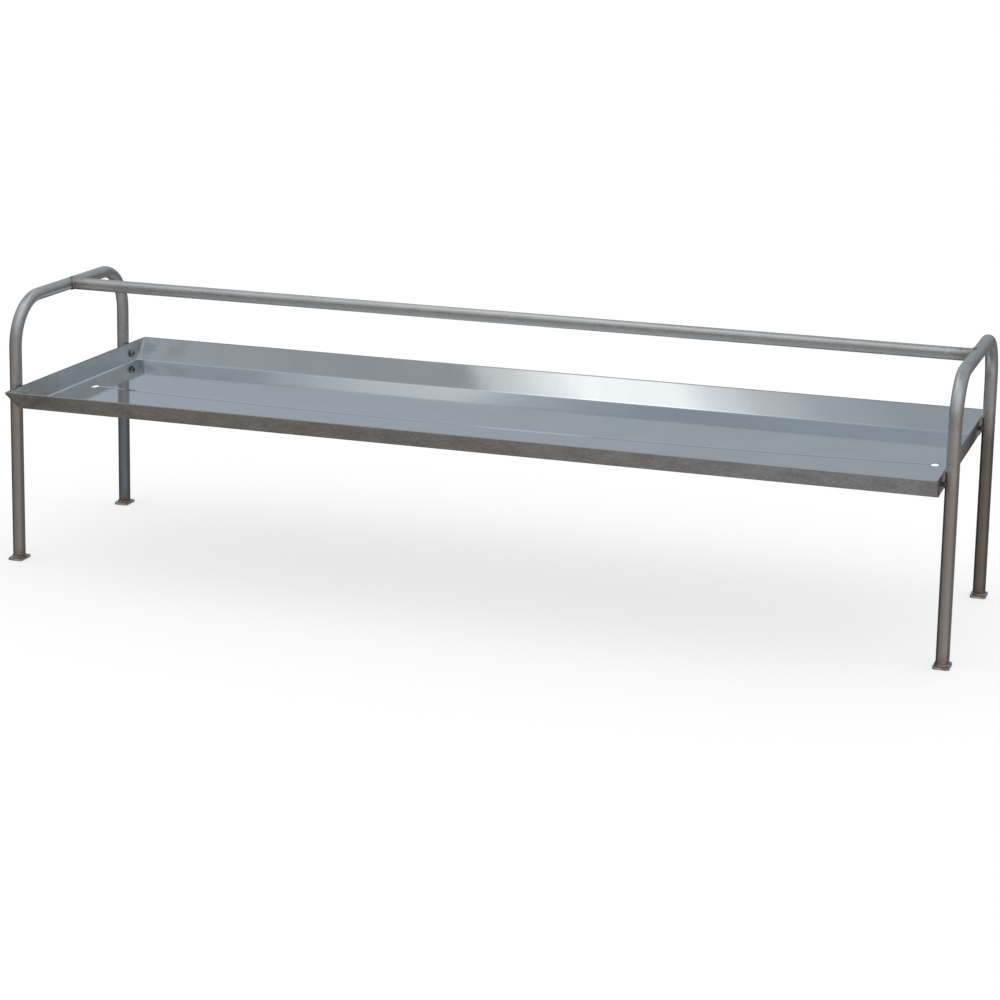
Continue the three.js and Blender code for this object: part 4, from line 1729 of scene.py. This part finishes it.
def make_soft_light():
    """A wide soft light overhead with, behind it, a slanting band that has one crisp side."""
    studio = settings().studio
    name = "wide_soft_light"
    left, right, front, rear = -1.8, 1.3, -0.5, 1.9
    card, graph = studio_sheet(name, name, left, right, front, rear, False)
    card.location = (0, 0, studio.card_height)
    inside = graph.add("ShaderNodeTexCoord").outputs["Object"]
    split = graph.coordinates(inside)
    from_edge = graph.vector("SUBTRACT", inside, (-0.615, 0.162, 0.0)).outputs[0]
    across = graph.vector("DOT_PRODUCT", from_edge, (0.83, 0.56, 0.0)).outputs["Value"]
    along = graph.vector("DOT_PRODUCT", from_edge, (-0.56, 0.83, 0.0)).outputs["Value"]
    band = level_ramp(
        graph,
        across,
        1.0,
        [
            (-0.01, 0.0),
            (0.01, 0.30),
            (0.06, 0.42),
            (0.12, 0.64),
            (0.19, 0.90),
            (0.34, 0.90),
            (0.42, 0.48),
            (0.50, 0.22),
            (0.60, 0.06),
            (0.74, 0.0),
        ],
    )
    band = graph.times(band, graph.ease(along, 0.20, 0.85, 1.0, 0.45))
    band = graph.times(band, graph.ease(along, 1.1, 1.6, 1.0, 0.0))
    overhead = level_ramp(
        graph,
        split["X"],
        2.0,
        [(-1.8, 0.40), (-1.06, 0.62), (-0.78, 0.80), (-0.27, 0.95), (0.28, 0.64), (1.2, 0.28)],
    )
    level = graph.between(graph.ease(split["Y"], -0.02, 0.07), overhead, band)
    level = graph.times(level, graph.ease(split["Y"], front, -0.2))
    glow = graph.add("ShaderNodeEmission", {"Color": (1.0, 1.0, 0.99), "Strength": 1.56})
    clear = graph.add("ShaderNodeBsdfTransparent")
    both = graph.add("ShaderNodeMixShader", {0: level, 1: clear.outputs[0], 2: glow.outputs[0]})
    graph.add("ShaderNodeOutputMaterial", {"Surface": both.outputs[0]})
    card.visible_camera = False
    card.visible_diffuse = False
    card.visible_shadow = False


# ---------------------------------------------------------------- operators


class PLANTTRAY_OT_hoops(bpy.types.Operator):
    """Bend the two hoops, each one tube with two legs and a top bar"""

    bl_idname = "planttray.hoops"
    bl_label = "Hoops"

    def execute(self, context):
        for end, side in ENDS:
            build_hoop(end, side)
        return {"FINISHED"}


class PLANTTRAY_OT_top_rail(bpy.types.Operator):
    """Cope the straight rail between the hoops' top bars"""

    bl_idname = "planttray.top_rail"
    bl_label = "Top rail"

    def execute(self, context):
        build_rail()
        return {"FINISHED"}


class PLANTTRAY_OT_rail_welds(bpy.types.Operator):
    """Lay the weld beads round the rail's two ends"""

    bl_idname = "planttray.rail_welds"
    bl_label = "Rail welds"

    def execute(self, context):
        for end, side in ENDS:
            build_rail_weld(end, side)
        return {"FINISHED"}


class PLANTTRAY_OT_foot_plates(bpy.types.Operator):
    """Cut the four foot plates"""

    bl_idname = "planttray.foot_plates"
    bl_label = "Foot plates"

    def execute(self, context):
        for end, _ in ENDS:
            for row, _ in ROWS:
                build_foot_plate(f"{row}_{end}")
        return {"FINISHED"}


class PLANTTRAY_OT_foot_welds(bpy.types.Operator):
    """Lay the fillet welds between the legs and their plates"""

    bl_idname = "planttray.foot_welds"
    bl_label = "Foot welds"

    def execute(self, context):
        for end, _ in ENDS:
            for row, _ in ROWS:
                build_foot_weld(f"{row}_{end}")
        return {"FINISHED"}


class PLANTTRAY_OT_tray(bpy.types.Operator):
    """Fold the tray from one sheet, with its crease, drain slots and bolt holes"""

    bl_idname = "planttray.tray"
    bl_label = "Tray"

    def execute(self, context):
        build_tray()
        return {"FINISHED"}


class PLANTTRAY_OT_corner_welds(bpy.types.Operator):
    """Close the tray's four corners with weld beads"""

    bl_idname = "planttray.corner_welds"
    bl_label = "Corner welds"

    def execute(self, context):
        for end, side_x in ENDS:
            for row, side_y in ROWS:
                build_corner_weld(f"{row}_{end}", side_x, side_y)
        return {"FINISHED"}


class PLANTTRAY_OT_tray_bolts(bpy.types.Operator):
    """Make the four button-head bolts that hold the tray"""

    bl_idname = "planttray.tray_bolts"
    bl_label = "Tray bolts"

    def execute(self, context):
        for end, side_x in ENDS:
            for row, side_y in ROWS:
                build_bolt(f"{row}_{end}", side_x, side_y)
        return {"FINISHED"}


class PLANTTRAY_OT_leg_inserts(bpy.types.Operator):
    """Set the threaded inserts into the legs"""

    bl_idname = "planttray.leg_inserts"
    bl_label = "Leg inserts"

    def execute(self, context):
        for end, side_x in ENDS:
            for row, _ in ROWS:
                build_insert(f"{row}_{end}", side_x)
        return {"FINISHED"}


class PLANTTRAY_OT_stage(bpy.types.Operator):
    """Set up the floor, the light and the camera"""

    bl_idname = "planttray.stage"
    bl_label = "Stage"

    def execute(self, context):
        make_world()
        make_floor()
        make_soft_light()
        make_camera()
        context.scene.view_settings.view_transform = "Standard"
        return {"FINISHED"}


class PLANTTRAY_PT_panel(bpy.types.Panel):
    """Lists the pieces of the plant tray"""

    bl_idname = "PLANTTRAY_PT_panel"
    bl_label = "Plant Tray"
    bl_space_type = "VIEW_3D"
    bl_region_type = "UI"
    bl_category = "Plant Tray"

    def draw(self, context):
        for operator in OPERATORS:
            self.layout.operator(operator.bl_idname)


SETTINGS = (TubeSizes, TraySizes, WeldSizes, FastenerSizes, Finishes, Studio, PlantTraySettings)
OPERATORS = (
    PLANTTRAY_OT_hoops,
    PLANTTRAY_OT_top_rail,
    PLANTTRAY_OT_rail_welds,
    PLANTTRAY_OT_foot_plates,
    PLANTTRAY_OT_foot_welds,
    PLANTTRAY_OT_tray,
    PLANTTRAY_OT_corner_welds,
    PLANTTRAY_OT_tray_bolts,
    PLANTTRAY_OT_leg_inserts,
    PLANTTRAY_OT_stage,
)
CLASSES = (*SETTINGS, *OPERATORS, PLANTTRAY_PT_panel)


def register():
    for cls in CLASSES:
        bpy.utils.register_class(cls)
    bpy.types.Scene.plant_tray = bpy.props.PointerProperty(
        type=PlantTraySettings, name="Plant tray", description="Settings of the plant tray"
    )


def unregister():
    del bpy.types.Scene.plant_tray
    for cls in reversed(CLASSES):
        bpy.utils.unregister_class(cls)


def main():
    register()
    bpy.ops.planttray.hoops()
    bpy.ops.planttray.top_rail()
    bpy.ops.planttray.rail_welds()
    bpy.ops.planttray.foot_plates()
    bpy.ops.planttray.foot_welds()
    bpy.ops.planttray.tray()
    bpy.ops.planttray.corner_welds()
    bpy.ops.planttray.tray_bolts()
    bpy.ops.planttray.leg_inserts()
    bpy.ops.planttray.stage()


if __name__ == "__main__":
    main()
